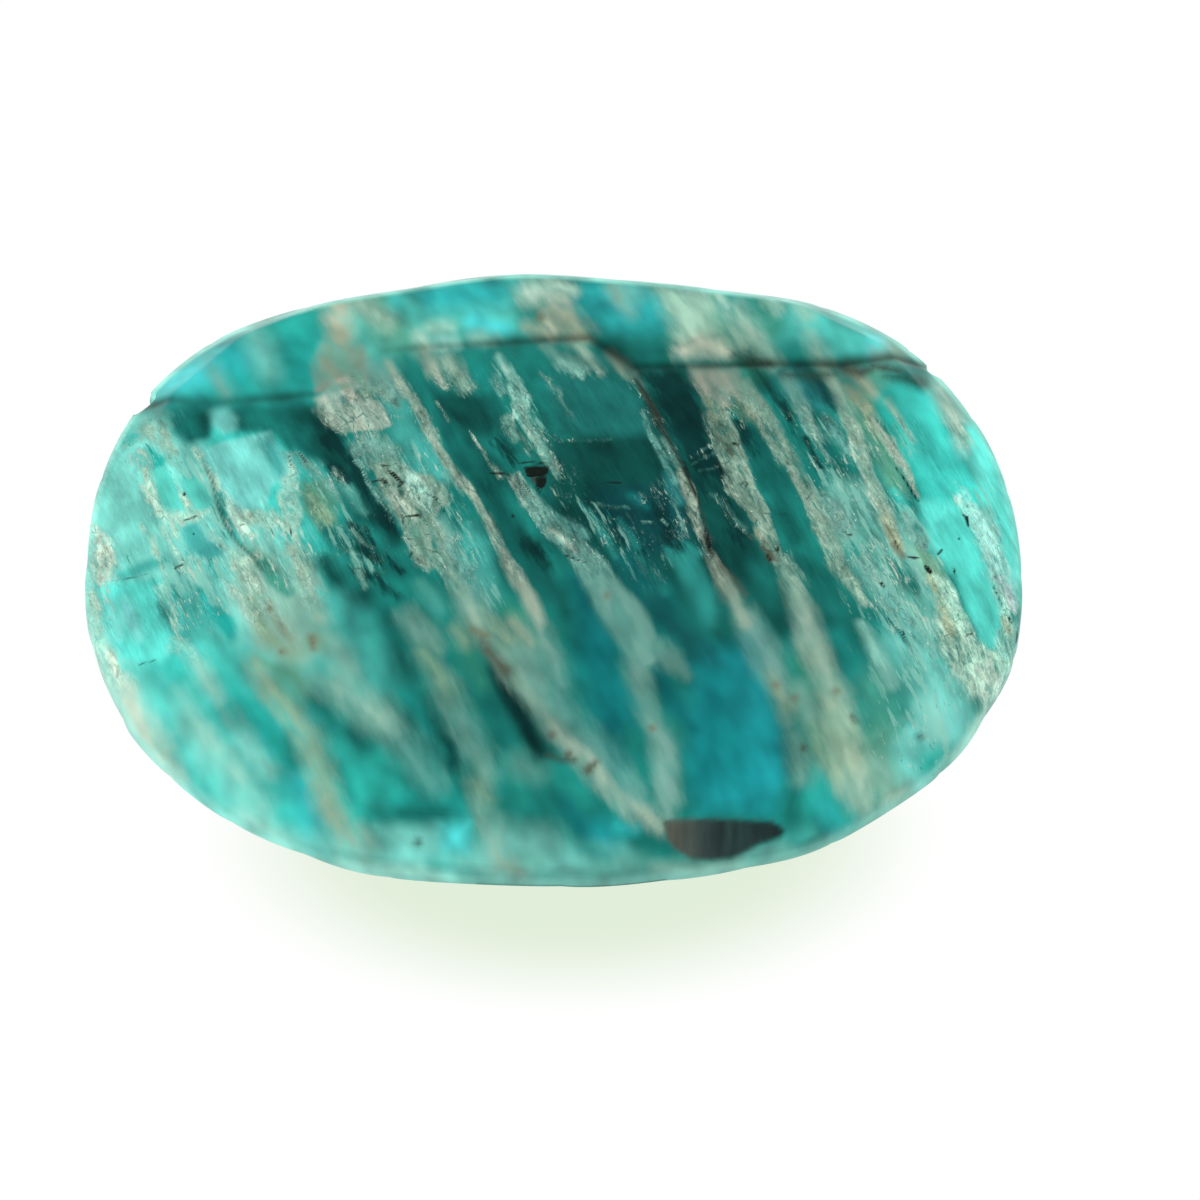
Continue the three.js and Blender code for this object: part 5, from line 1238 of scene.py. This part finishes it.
def draw_albite(places):
    """The albite's colour at each place, and how far inside a lamella the place is."""
    blend = np.full((len(places), 3), UNDERPAINT) * ALBITES["pebble"]
    weight = np.full(len(places), UNDERPAINT)
    deepest = np.full(len(places), -FIELD_LIMIT)
    for pigment, softness, route in LAMELLAE.values():
        near, field = marking_field(places, softness, route)
        pull = np.exp(PULL * np.clip(field, -FIELD_LIMIT, PULL_LIMIT))
        under = 1.0 - LAYER_COVER * smooth_step(*EDGE, field)
        blend[near] = blend[near] * under[:, None] + pull[:, None] * ALBITES[pigment]
        weight[near] = weight[near] * under + pull
        deepest[near] = np.maximum(deepest[near], np.clip(field, -FIELD_LIMIT, FIELD_LIMIT))
    return blend / weight[:, None], deepest


def draw_stains(places, on_crown):
    """The stains' colour and cover at each place."""
    colour = np.tile(STAINS["umber"], (len(places), 1))
    cover_all = np.zeros(len(places))
    for pigment, softness, route in STAINING.values():
        near, field = marking_field(places, softness, route)
        cover = smooth_step(*EDGE, field)
        stronger = cover > cover_all[near]
        colour[near[stronger]] = STAINS[pigment]
        cover_all[near] = np.maximum(cover_all[near], cover)
    return colour, cover_all * on_crown


def draw_skin(places, on_crown):
    """The natural skin's colour and cover at each place."""
    near, field = marking_field(places, *SKIN)
    skin = np.zeros(len(places))
    skin[near] = smooth_step(*EDGE, field) * on_crown[near]
    stations, *tints = np.array(SKIN_TINTS).T
    return np.column_stack([np.interp(places[:, 0], stations, channel) for channel in tints]), skin


def draw_fracture(polished):
    """How dark the dirt in the fracture and the painted shade along it make each place."""
    gap = route_distance(polished[:, :2], FRACTURE_ROUTE)
    stations, spreads, strengths = np.array(FRACTURE_SHADE_AND_DIRT).T
    spread = np.interp(polished[:, 0], stations, spreads)
    return np.interp(polished[:, 0], stations, strengths) * np.exp(-(gap / spread) ** 2)


def draw_crumble(places):
    """How full of pale flecks each place is, outside the calm panes."""
    crumble = np.zeros(len(places))
    for share, softness, route in CRUMBLE.values():
        near, field = marking_field(places, softness, route)
        crumble[near] = np.maximum(crumble[near], share * smooth_step(*EDGE, field))
    for softness, route in CALM.values():
        near, field = marking_field(places, softness, route)
        crumble[near] *= 1.0 - smooth_step(*EDGE, field)
    return crumble


def draw_rim(places, polished, normals):
    """How strongly each place gets the rim's painted glow: a thin line along the outline on the sheet."""
    outline = [tuple(places[i]) for i in convex_hull_2d([Vector(place) for place in places])]
    edge = inside_outline(places, outline)
    far_side = smooth_step(*RIM_NEAR_TO_FAR, polished[:, 1])
    width = RIM_WIDTH_NEAR + (RIM_WIDTH_FAR - RIM_WIDTH_NEAR) * far_side
    strength = RIM_GLOW_NEAR + (RIM_GLOW_FAR - RIM_GLOW_NEAR) * far_side
    right_from, right_to, fainter = RIM_RIGHT
    strength *= 1.0 - fainter * smooth_step(right_from, right_to, polished[:, 0])
    sightward = np.array([0.0, -math.cos(SHEET_RISE), math.sin(SHEET_RISE)])
    facing = smooth_step(*RIM_FACING, normals @ sightward)
    return strength * (1.0 - smooth_step(*RIM_FADE, edge / width)) * facing


def light_through(places):
    """How much brighter the stone's thin ends and near side are painted than its middle, for the light they
    let through.
    """
    from_middle = np.abs(places[:, 0] - SHEET_MIDDLE[0])
    ends = 1.0 + END_GLOW * smooth_step(*END_GLOW_SPREAD, from_middle)
    return ends * (1.0 + NEAR_GLOW * smooth_step(*NEAR_GLOW_SPREAD, places[:, 1]))


def lit(colour, glow, rim):
    """A colour with painted light: the light that the stone lets through and the glow of its rim."""
    colour = np.minimum(colour * glow[:, None], BRIGHTEST)
    return colour + rim[:, None] * (np.array(TEALS["rim light"]) - colour)


def rippled(places):
    """Places moved a little across the bands, so that no edge runs quite true."""
    grain = np.array([math.cos(GRAIN_SLOPE), math.sin(GRAIN_SLOPE)])
    crossways = np.array([grain[1], -grain[0]])
    along, across = places @ grain, places @ crossways
    shift = np.zeros(len(places))
    for seed, reach, width, length in RIPPLES:
        shift += reach * CloudNoise(seed)(across / width, along / length)
    return places + shift[:, None] * crossways


def keep_colour(mesh, name, *columns):
    """Stores a colour or up to three masks for each vertex."""
    layer = mesh.color_attributes.new(name, "FLOAT_COLOR", "POINT")
    stored = np.column_stack(columns)
    rgba = np.ones((len(stored), 4), np.float32)
    rgba[:, :stored.shape[1]] = stored
    layer.data.foreach_set("color", rgba.ravel())


def draw_markings(mesh, polished):
    """Draws the stone's colours and masks on its vertices."""
    places = on_sheet(polished)
    drawn = rippled(places)
    below_from, below_to = CROWN_FOOT
    on_crown = smooth_step(GIRDLE_TOP - below_from, GIRDLE_TOP - below_to, polished[:, 2])
    normals = np.empty(len(places) * 3, np.float32)
    mesh.vertex_normals.foreach_get("vector", normals)
    rim = draw_rim(places, polished, normals.reshape(-1, 3))
    glow = light_through(places)
    albite, lamella = draw_albite(drawn)
    stain, stain_cover = draw_stains(places, on_crown)
    skin_tint, skin = draw_skin(places, on_crown)
    stain[skin > stain_cover] = skin_tint[skin > stain_cover]
    slit = np.where(on_crown > 0.5, deepest_field(places, SLITS), -FIELD_LIMIT)
    # the teal and albite colours carry the painted light of the thin ends, the near side and the rim
    keep_colour(mesh, "teal", lit(draw_teal(drawn), glow, rim))
    keep_colour(mesh, "albite", lit(albite, glow, rim))
    keep_colour(mesh, "stain", stain)
    keep_colour(mesh, "fields", lamella, slit, crispness(places))
    # the second depth is the fracture's dirt and painted shade
    keep_colour(mesh, "depths", deepest_field(drawn, DEEPS), draw_fracture(polished) * on_crown, skin)
    keep_colour(mesh, "covers", np.maximum(stain_cover, skin), draw_crumble(drawn))


def placed(name, data):
    """A new object in the scene."""
    made = bpy.data.objects.new(name, data)
    bpy.context.scene.collection.objects.link(made)
    return made


def make_stone(node):
    vertices, faces = stone_skin(node)
    polished = vertices.copy()
    carve(vertices)
    mesh = bpy.data.meshes.new("amazonite_gem")
    mesh.from_pydata((vertices * MM).tolist(), [], faces)
    mesh.update()
    mesh.shade_smooth()
    draw_markings(mesh, polished)
    mesh.materials.append(amazonite_material())
    return placed("amazonite_gem", mesh)


# ======== shader helpers ========
def add(tree, kind, inputs=None, **settings):
    """Adds a node, sets it up, and links or fills its inputs."""
    made = tree.nodes.new(kind)
    for name, value in settings.items():
        setattr(made, name, value)
    for socket, value in (inputs or {}).items():
        if isinstance(value, Shade):
            tree.links.new(value.socket, made.inputs[socket])
        else:
            made.inputs[socket].default_value = value
    return made


def shade(tree, kind, output, inputs=None, **settings):
    """Adds a node and gives one output of it."""
    return Shade(tree, add(tree, kind, inputs, **settings).outputs[output])


def mixed(tree, under, over, share, blend="MIX"):
    """A colour laid over another by a share; each is a shade or three channels."""
    inputs = {"Factor": share}
    for socket, value in ((MIX_UNDER, under), (MIX_OVER, over)):
        inputs[socket] = value if isinstance(value, Shade) else (*value, 1.0)
    return shade(tree, "ShaderNodeMix", MIX_RESULT, inputs, data_type="RGBA", blend_type=blend)


class Shade:
    """A number, place or colour that changes over the surface: an output of a node."""

    def __init__(self, tree, socket):
        self.tree = tree
        self.socket = socket

    def calc(self, operation, *others):
        inputs = dict(enumerate((self, *others)))
        return shade(self.tree, "ShaderNodeMath", 0, inputs, operation=operation)

    def __add__(self, other):
        return self.calc("ADD", other)

    def __sub__(self, other):
        return self.calc("SUBTRACT", other)

    def __mul__(self, other):
        return self.calc("MULTIPLY", other)

    def rest(self):
        """What this share leaves of the whole."""
        return shade(self.tree, "ShaderNodeMath", 0, {0: 1.0, 1: self}, operation="SUBTRACT")

    def at_least(self, other):
        return self.calc("MAXIMUM", other)

    def ramp(self, low, high):
        """A smooth step from low to high."""
        inputs = {"Value": self, "From Min": low, "From Max": high}
        return shade(self.tree, "ShaderNodeMapRange", "Result", inputs, interpolation_type="SMOOTHSTEP")

    def scaled(self, factors):
        """A place or colour with each of its three parts multiplied."""
        return shade(self.tree, "ShaderNodeVectorMath", 0, {0: self, 1: factors}, operation="MULTIPLY")

    def brighter(self, gain):
        return self.scaled(shade(self.tree, "ShaderNodeCombineXYZ", 0, {"X": gain, "Y": gain, "Z": gain}))

    def parts(self):
        """The three parts of a place or colour."""
        node = add(self.tree, "ShaderNodeSeparateXYZ", {0: self})
        return [Shade(self.tree, output) for output in node.outputs]

    def under(self, over, share, blend="MIX"):
        """This colour with a share of another one over it."""
        return mixed(self.tree, self, over, share, blend)


def grain(coords, name):
    """One kind of grain: noise that is longer along the bands than across them."""
    size, detail, roughness = GRAINS[name]
    inputs = {"Vector": coords.scaled(size), "Scale": 1.0, "Detail": detail, "Roughness": roughness}
    return shade(coords.tree, "ShaderNodeTexNoise", "Fac", inputs, noise_dimensions="3D")


def swing(coords, name):
    """One kind of grain, to both sides of nought."""
    return grain(coords, name) - 0.5


def flecks(coords, name):
    """Where one kind of grain shows, 0 to 1."""
    return grain(coords, name).ramp(*SHOWS[name])


def crystals(coords, size, output, **settings):
    """Crystal faces of a size, in features to a millimetre."""
    inputs = {"Vector": coords.scaled(size), "Scale": 1.0}
    return shade(coords.tree, "ShaderNodeTexVoronoi", output, inputs, voronoi_dimensions="3D", **settings)


def stored(tree, name, output="Color"):
    """A colour that is stored on the vertices."""
    return shade(tree, "ShaderNodeAttribute", output, attribute_name=name)


def blank_material(name):
    material = bpy.data.materials.new(name)
    material.use_nodes = True
    material.node_tree.nodes.clear()
    return material


# ======== the stone's material ========
def band_cover(coords, lamella, fray, crisp):
    """How fully albite covers each place: bands with frayed edges, uneven body and gaps."""
    band = (lamella + swing(coords, "fibre") * fray).ramp(*EDGE)
    body = flecks(coords, "body") * SHARES["body"] + SHARES["thin body"]
    gap = flecks(coords, "gap") * crisp * SHARES["gap"]
    return band * body * gap.rest()


def teal_grain(coords, teal, veil, crisp, crumble):
    """The teal with its clouds, long streaks and lighter threads."""
    streak = swing(coords, "streak") * crisp * (crumble * SHARES["crumbled streak"] + SHARES["streak"])
    gain = (veil * SHARES["veil on teal"] + 1.0 + streak).at_least(DARKEST_TEAL)
    thread = flecks(coords, "thread") * crisp * (crumble * SHARES["crumbled thread"] + SHARES["thread"])
    return teal.brighter(gain).under(teal.brighter(crisp * SHARES["thread light"] + 1.0), thread)


def crumbled_teal(coords, grained, teal, deep, crumble, cluster):
    """Pale needles, splinters and darker splits of the crumbled zones, along the bands."""
    zone = (crumble * deep.rest()).ramp(*SHOWS["zone"])
    needle = (grain(coords, "needle") + crumble * SHARES["needle growth"]).ramp(*SHOWS["needle"])
    needle_tint = teal.under(ALBITES["dew"], SHARES["needle dew"])
    grained = grained.under(needle_tint, needle * zone * SHARES["needle"])
    splinter = (grain(coords, "splinter") + crumble * SHARES["splinter growth"]).ramp(*SHOWS["splinter"])
    grained = grained.under(ALBITES["milk"], splinter * cluster * zone * SHARES["splinter"])
    return grained.under(TEALS["sea"], flecks(coords, "split") * zone * SHARES["split"])


def albite_grain(coords, albite, veil, fine, crisp):
    """The albite with its crystal faces, streaks, fine grit and cracks."""
    face = crystals(coords, CRYSTAL_SIZE, "Color", feature="F1").parts()[0]
    weave = grain(coords, "weave")
    grit = (face - 0.5) * SHARES["crystal faces"] + fine * SHARES["fine grit"]
    grit = grit + (weave - 0.5) * SHARES["weave"]
    gain = (veil * SHARES["veil on albite"] + 1.0 + grit * crisp).at_least(DARKEST_ALBITE)
    crack = crystals(coords, CRACK_SIZE, "Distance", feature="DISTANCE_TO_EDGE")
    crack = crack.ramp(*SHOWS["crack"]) * weave.ramp(*SHOWS["cracked weave"]) * crisp * SHARES["crack"]
    return albite.brighter(gain).under(STAINS["umber"], crack)


def filament_cover(coords, lamella, crumble, cluster, crisp):
    """Fine white filaments that run along the bands' edges and through the crumbled zones."""
    line = swing(coords, "curl").calc("ABSOLUTE").ramp(*SHOWS["filament"])
    band_edge = lamella.ramp(*SHOWS["outer edge"]) * lamella.ramp(*SHOWS["inner edge"])
    zone = band_edge.at_least(crumble * SHARES["crumbled filament"]) * crisp.ramp(*SHOWS["crisp filament"])
    return line * zone * cluster * SHARES["filament"]


def amazonite_material():
    """Translucent-looking teal feldspar with frayed, granular albite bands, dark slits and stains."""
    material = blank_material("banded_amazonite")
    tree = material.node_tree
    millimetres = shade(tree, "ShaderNodeTexCoord", "Object").scaled((1 / MM,) * 3)
    turn = {"Vector": millimetres, "Rotation": (0.0, 0.0, GRAIN_TURN)}
    coords = shade(tree, "ShaderNodeMapping", 0, turn, vector_type="POINT")
    teal, albite, stain = (stored(tree, name) for name in ("teal", "albite", "stain"))
    lamella, slit, crisp = stored(tree, "fields", "Vector").parts()
    deep, fracture, skin = stored(tree, "depths", "Vector").parts()
    stain_cover, crumble, _ = stored(tree, "covers", "Vector").parts()

    fine_grain = grain(coords, "fine")
    fine = fine_grain - 0.5
    veil = swing(coords, "veil")
    cluster = flecks(coords, "cluster")
    fray = crisp * (FRAY - FRAY_VEILED) + FRAY_VEILED
    band = band_cover(coords, lamella, fray, crisp)
    deep = (deep + swing(coords, "tear") * fray * SHARES["torn deep"]).ramp(*EDGE)

    teal_deep = teal.under(TEALS["ink"], deep * SHARES["deep"])
    teal_grained = teal_grain(coords, teal_deep, veil, crisp, crumble)
    teal_grained = crumbled_teal(coords, teal_grained, teal, deep, crumble, cluster)
    colour = teal_grained.under(albite_grain(coords, albite, veil, fine, crisp), band)
    # painted glints on tiny bright faces, dark pits and white filaments
    grainy = crisp * band.at_least(crumble)
    colour = colour.under(ALBITES["milk"], flecks(coords, "painted glint") * grainy)
    colour = colour.under(TEALS["bottle"], flecks(coords, "pit") * grainy * SHARES["pit"])
    colour = colour.under(ALBITES["milk"], filament_cover(coords, lamella, crumble, cluster, crisp))
    # stains with a gritty edge, slits, the dirt and painted shade along the fracture, natural skin
    gritty = (stain_cover + fine * SHARES["stain grit"]).ramp(0.0, 1.0)
    colour = colour.under(stain, gritty * SHARES["stain"] * stain_cover.ramp(*SHOWS["stain"]))
    colour = colour.under(STAINS["pitch"], slit.ramp(*EDGE))
    # darkens along the fracture: dirt in the crack and painted shade beside it
    colour = colour.under(FRACTURE_SHADE_AND_DIRT_TINT, fracture, "MULTIPLY")
    skin_grain = grain(millimetres, "skin")
    colour = colour.under(stain.brighter((skin_grain - 0.5) * SHARES["skin grain"] + 1.0), skin)

    height = fine_grain * band * ALBITE_RELIEF + skin_grain * skin
    relief = {"Strength": RELIEF_STRENGTH, "Distance": RELIEF_DEPTH * MM, "Height": height}
    shader = shade(tree, "ShaderNodeBsdfPrincipled", 0, {
        "Base Color": colour, "Roughness": band * ALBITE_DULLNESS + TEAL_ROUGHNESS + skin * SKIN_DULLNESS,
        "Normal": shade(tree, "ShaderNodeBump", 0, relief), "IOR": FELDSPAR_IOR,
        "Specular IOR Level": POLISH_SPECULAR})
    add(tree, "ShaderNodeOutputMaterial", {"Surface": shader})
    return material


# ======== table, lamps, sight ========
def table_material():
    """A white table lit from below, with a painted faint green shadow under the stone, where its shade falls
    and light leaves it.
    """
    material = blank_material("lit_table")
    tree = material.node_tree
    millimetres = shade(tree, "ShaderNodeTexCoord", "Object").scaled((1 / MM,) * 3)
    middle = (*TABLE_SHADE_MIDDLE, 0.0)
    shifted = shade(tree, "ShaderNodeVectorMath", 0, {0: millimetres, 1: middle}, operation="SUBTRACT")
    oval = shifted.scaled((1 / TABLE_SHADE_HALF[0], 1 / TABLE_SHADE_HALF[1], 0.0))
    reach = shade(tree, "ShaderNodeVectorMath", "Value", {0: oval}, operation="LENGTH")
    colour = mixed(tree, TABLE_WHITE, TABLE_SHADE_TINT, reach.ramp(*TABLE_SHADE_FADE))
    emission = shade(tree, "ShaderNodeEmission", 0, {"Color": colour, "Strength": 1.0})
    add(tree, "ShaderNodeOutputMaterial", {"Surface": emission})
    return material


def make_table():
    mesh = bpy.data.meshes.new("table")
    corners = [(x * TABLE_REACH, y * TABLE_REACH, 0) for x, y in ((-1, -1), (1, -1), (1, 1), (-1, 1))]
    mesh.from_pydata(corners, [], [(0, 1, 2, 3)])
    mesh.materials.append(table_material())
    return placed("table", mesh)


def make_lamp(name, direction):
    """A soft lamp that lights a white face turned to it by LAMP_SHARE of full white."""
    lamp = bpy.data.lights.new(name, "AREA")
    lamp.shape = "SQUARE"
    lamp.size = LAMP_SIZE
    lamp.energy = LAMP_SHARE * (math.pi * LAMP_DISTANCE) ** 2
    holder = placed(name, lamp)
    direction = Vector(direction).normalized()
    holder.location = direction * LAMP_DISTANCE
    holder.rotation_euler = direction.to_track_quat("Z", "Y").to_euler()


def make_world():
    world = bpy.data.worlds.new("room")
    bpy.context.scene.world = world
    world.use_nodes = True
    background = world.node_tree.nodes["Background"]
    background.inputs["Color"].default_value = (*WHITE, 1.0)
    background.inputs["Strength"].default_value = ROOM_STRENGTH


def make_sight():
    """The camera, over the sheet."""
    camera = bpy.data.cameras.new("sight")
    frame_width = SHEET_SIZE / SHEET_SCALE
    camera.lens = camera.sensor_width * SHEET_REACH / frame_width
    camera.shift_x = (SHEET_SIZE / 2 - SHEET_MIDDLE[0]) / SHEET_SIZE
    camera.shift_y = (SHEET_MIDDLE[1] - SHEET_SIZE / 2) / SHEET_SIZE
    camera.clip_start = NEAREST_SIGHT * MM
    holder = placed("sight", camera)
    right = Vector((1.0, 0.0, 0.0))
    up = Vector((0.0, math.sin(SHEET_RISE), math.cos(SHEET_RISE)))
    back = Vector((0.0, -math.cos(SHEET_RISE), math.sin(SHEET_RISE)))
    rolled_right = right * math.cos(SHEET_ROLL) - up * math.sin(SHEET_ROLL)
    rolled_up = right * math.sin(SHEET_ROLL) + up * math.cos(SHEET_ROLL)
    place = (Vector(SHEET_TARGET) + back * SHEET_REACH) * MM
    axes = Matrix((rolled_right, rolled_up, back)).transposed().to_4x4()
    holder.matrix_world = Matrix.Translation(place) @ axes
    bpy.context.scene.camera = holder


gem = make_stone(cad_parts[STONE_NODE])
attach(gem, "root")
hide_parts(STONE_NODE)

table = make_table()
make_world()
for lamp_name, lamp_direction in LAMPS.items():
    make_lamp(lamp_name, lamp_direction)
make_sight()
bpy.context.scene.view_settings.view_transform = "Standard"
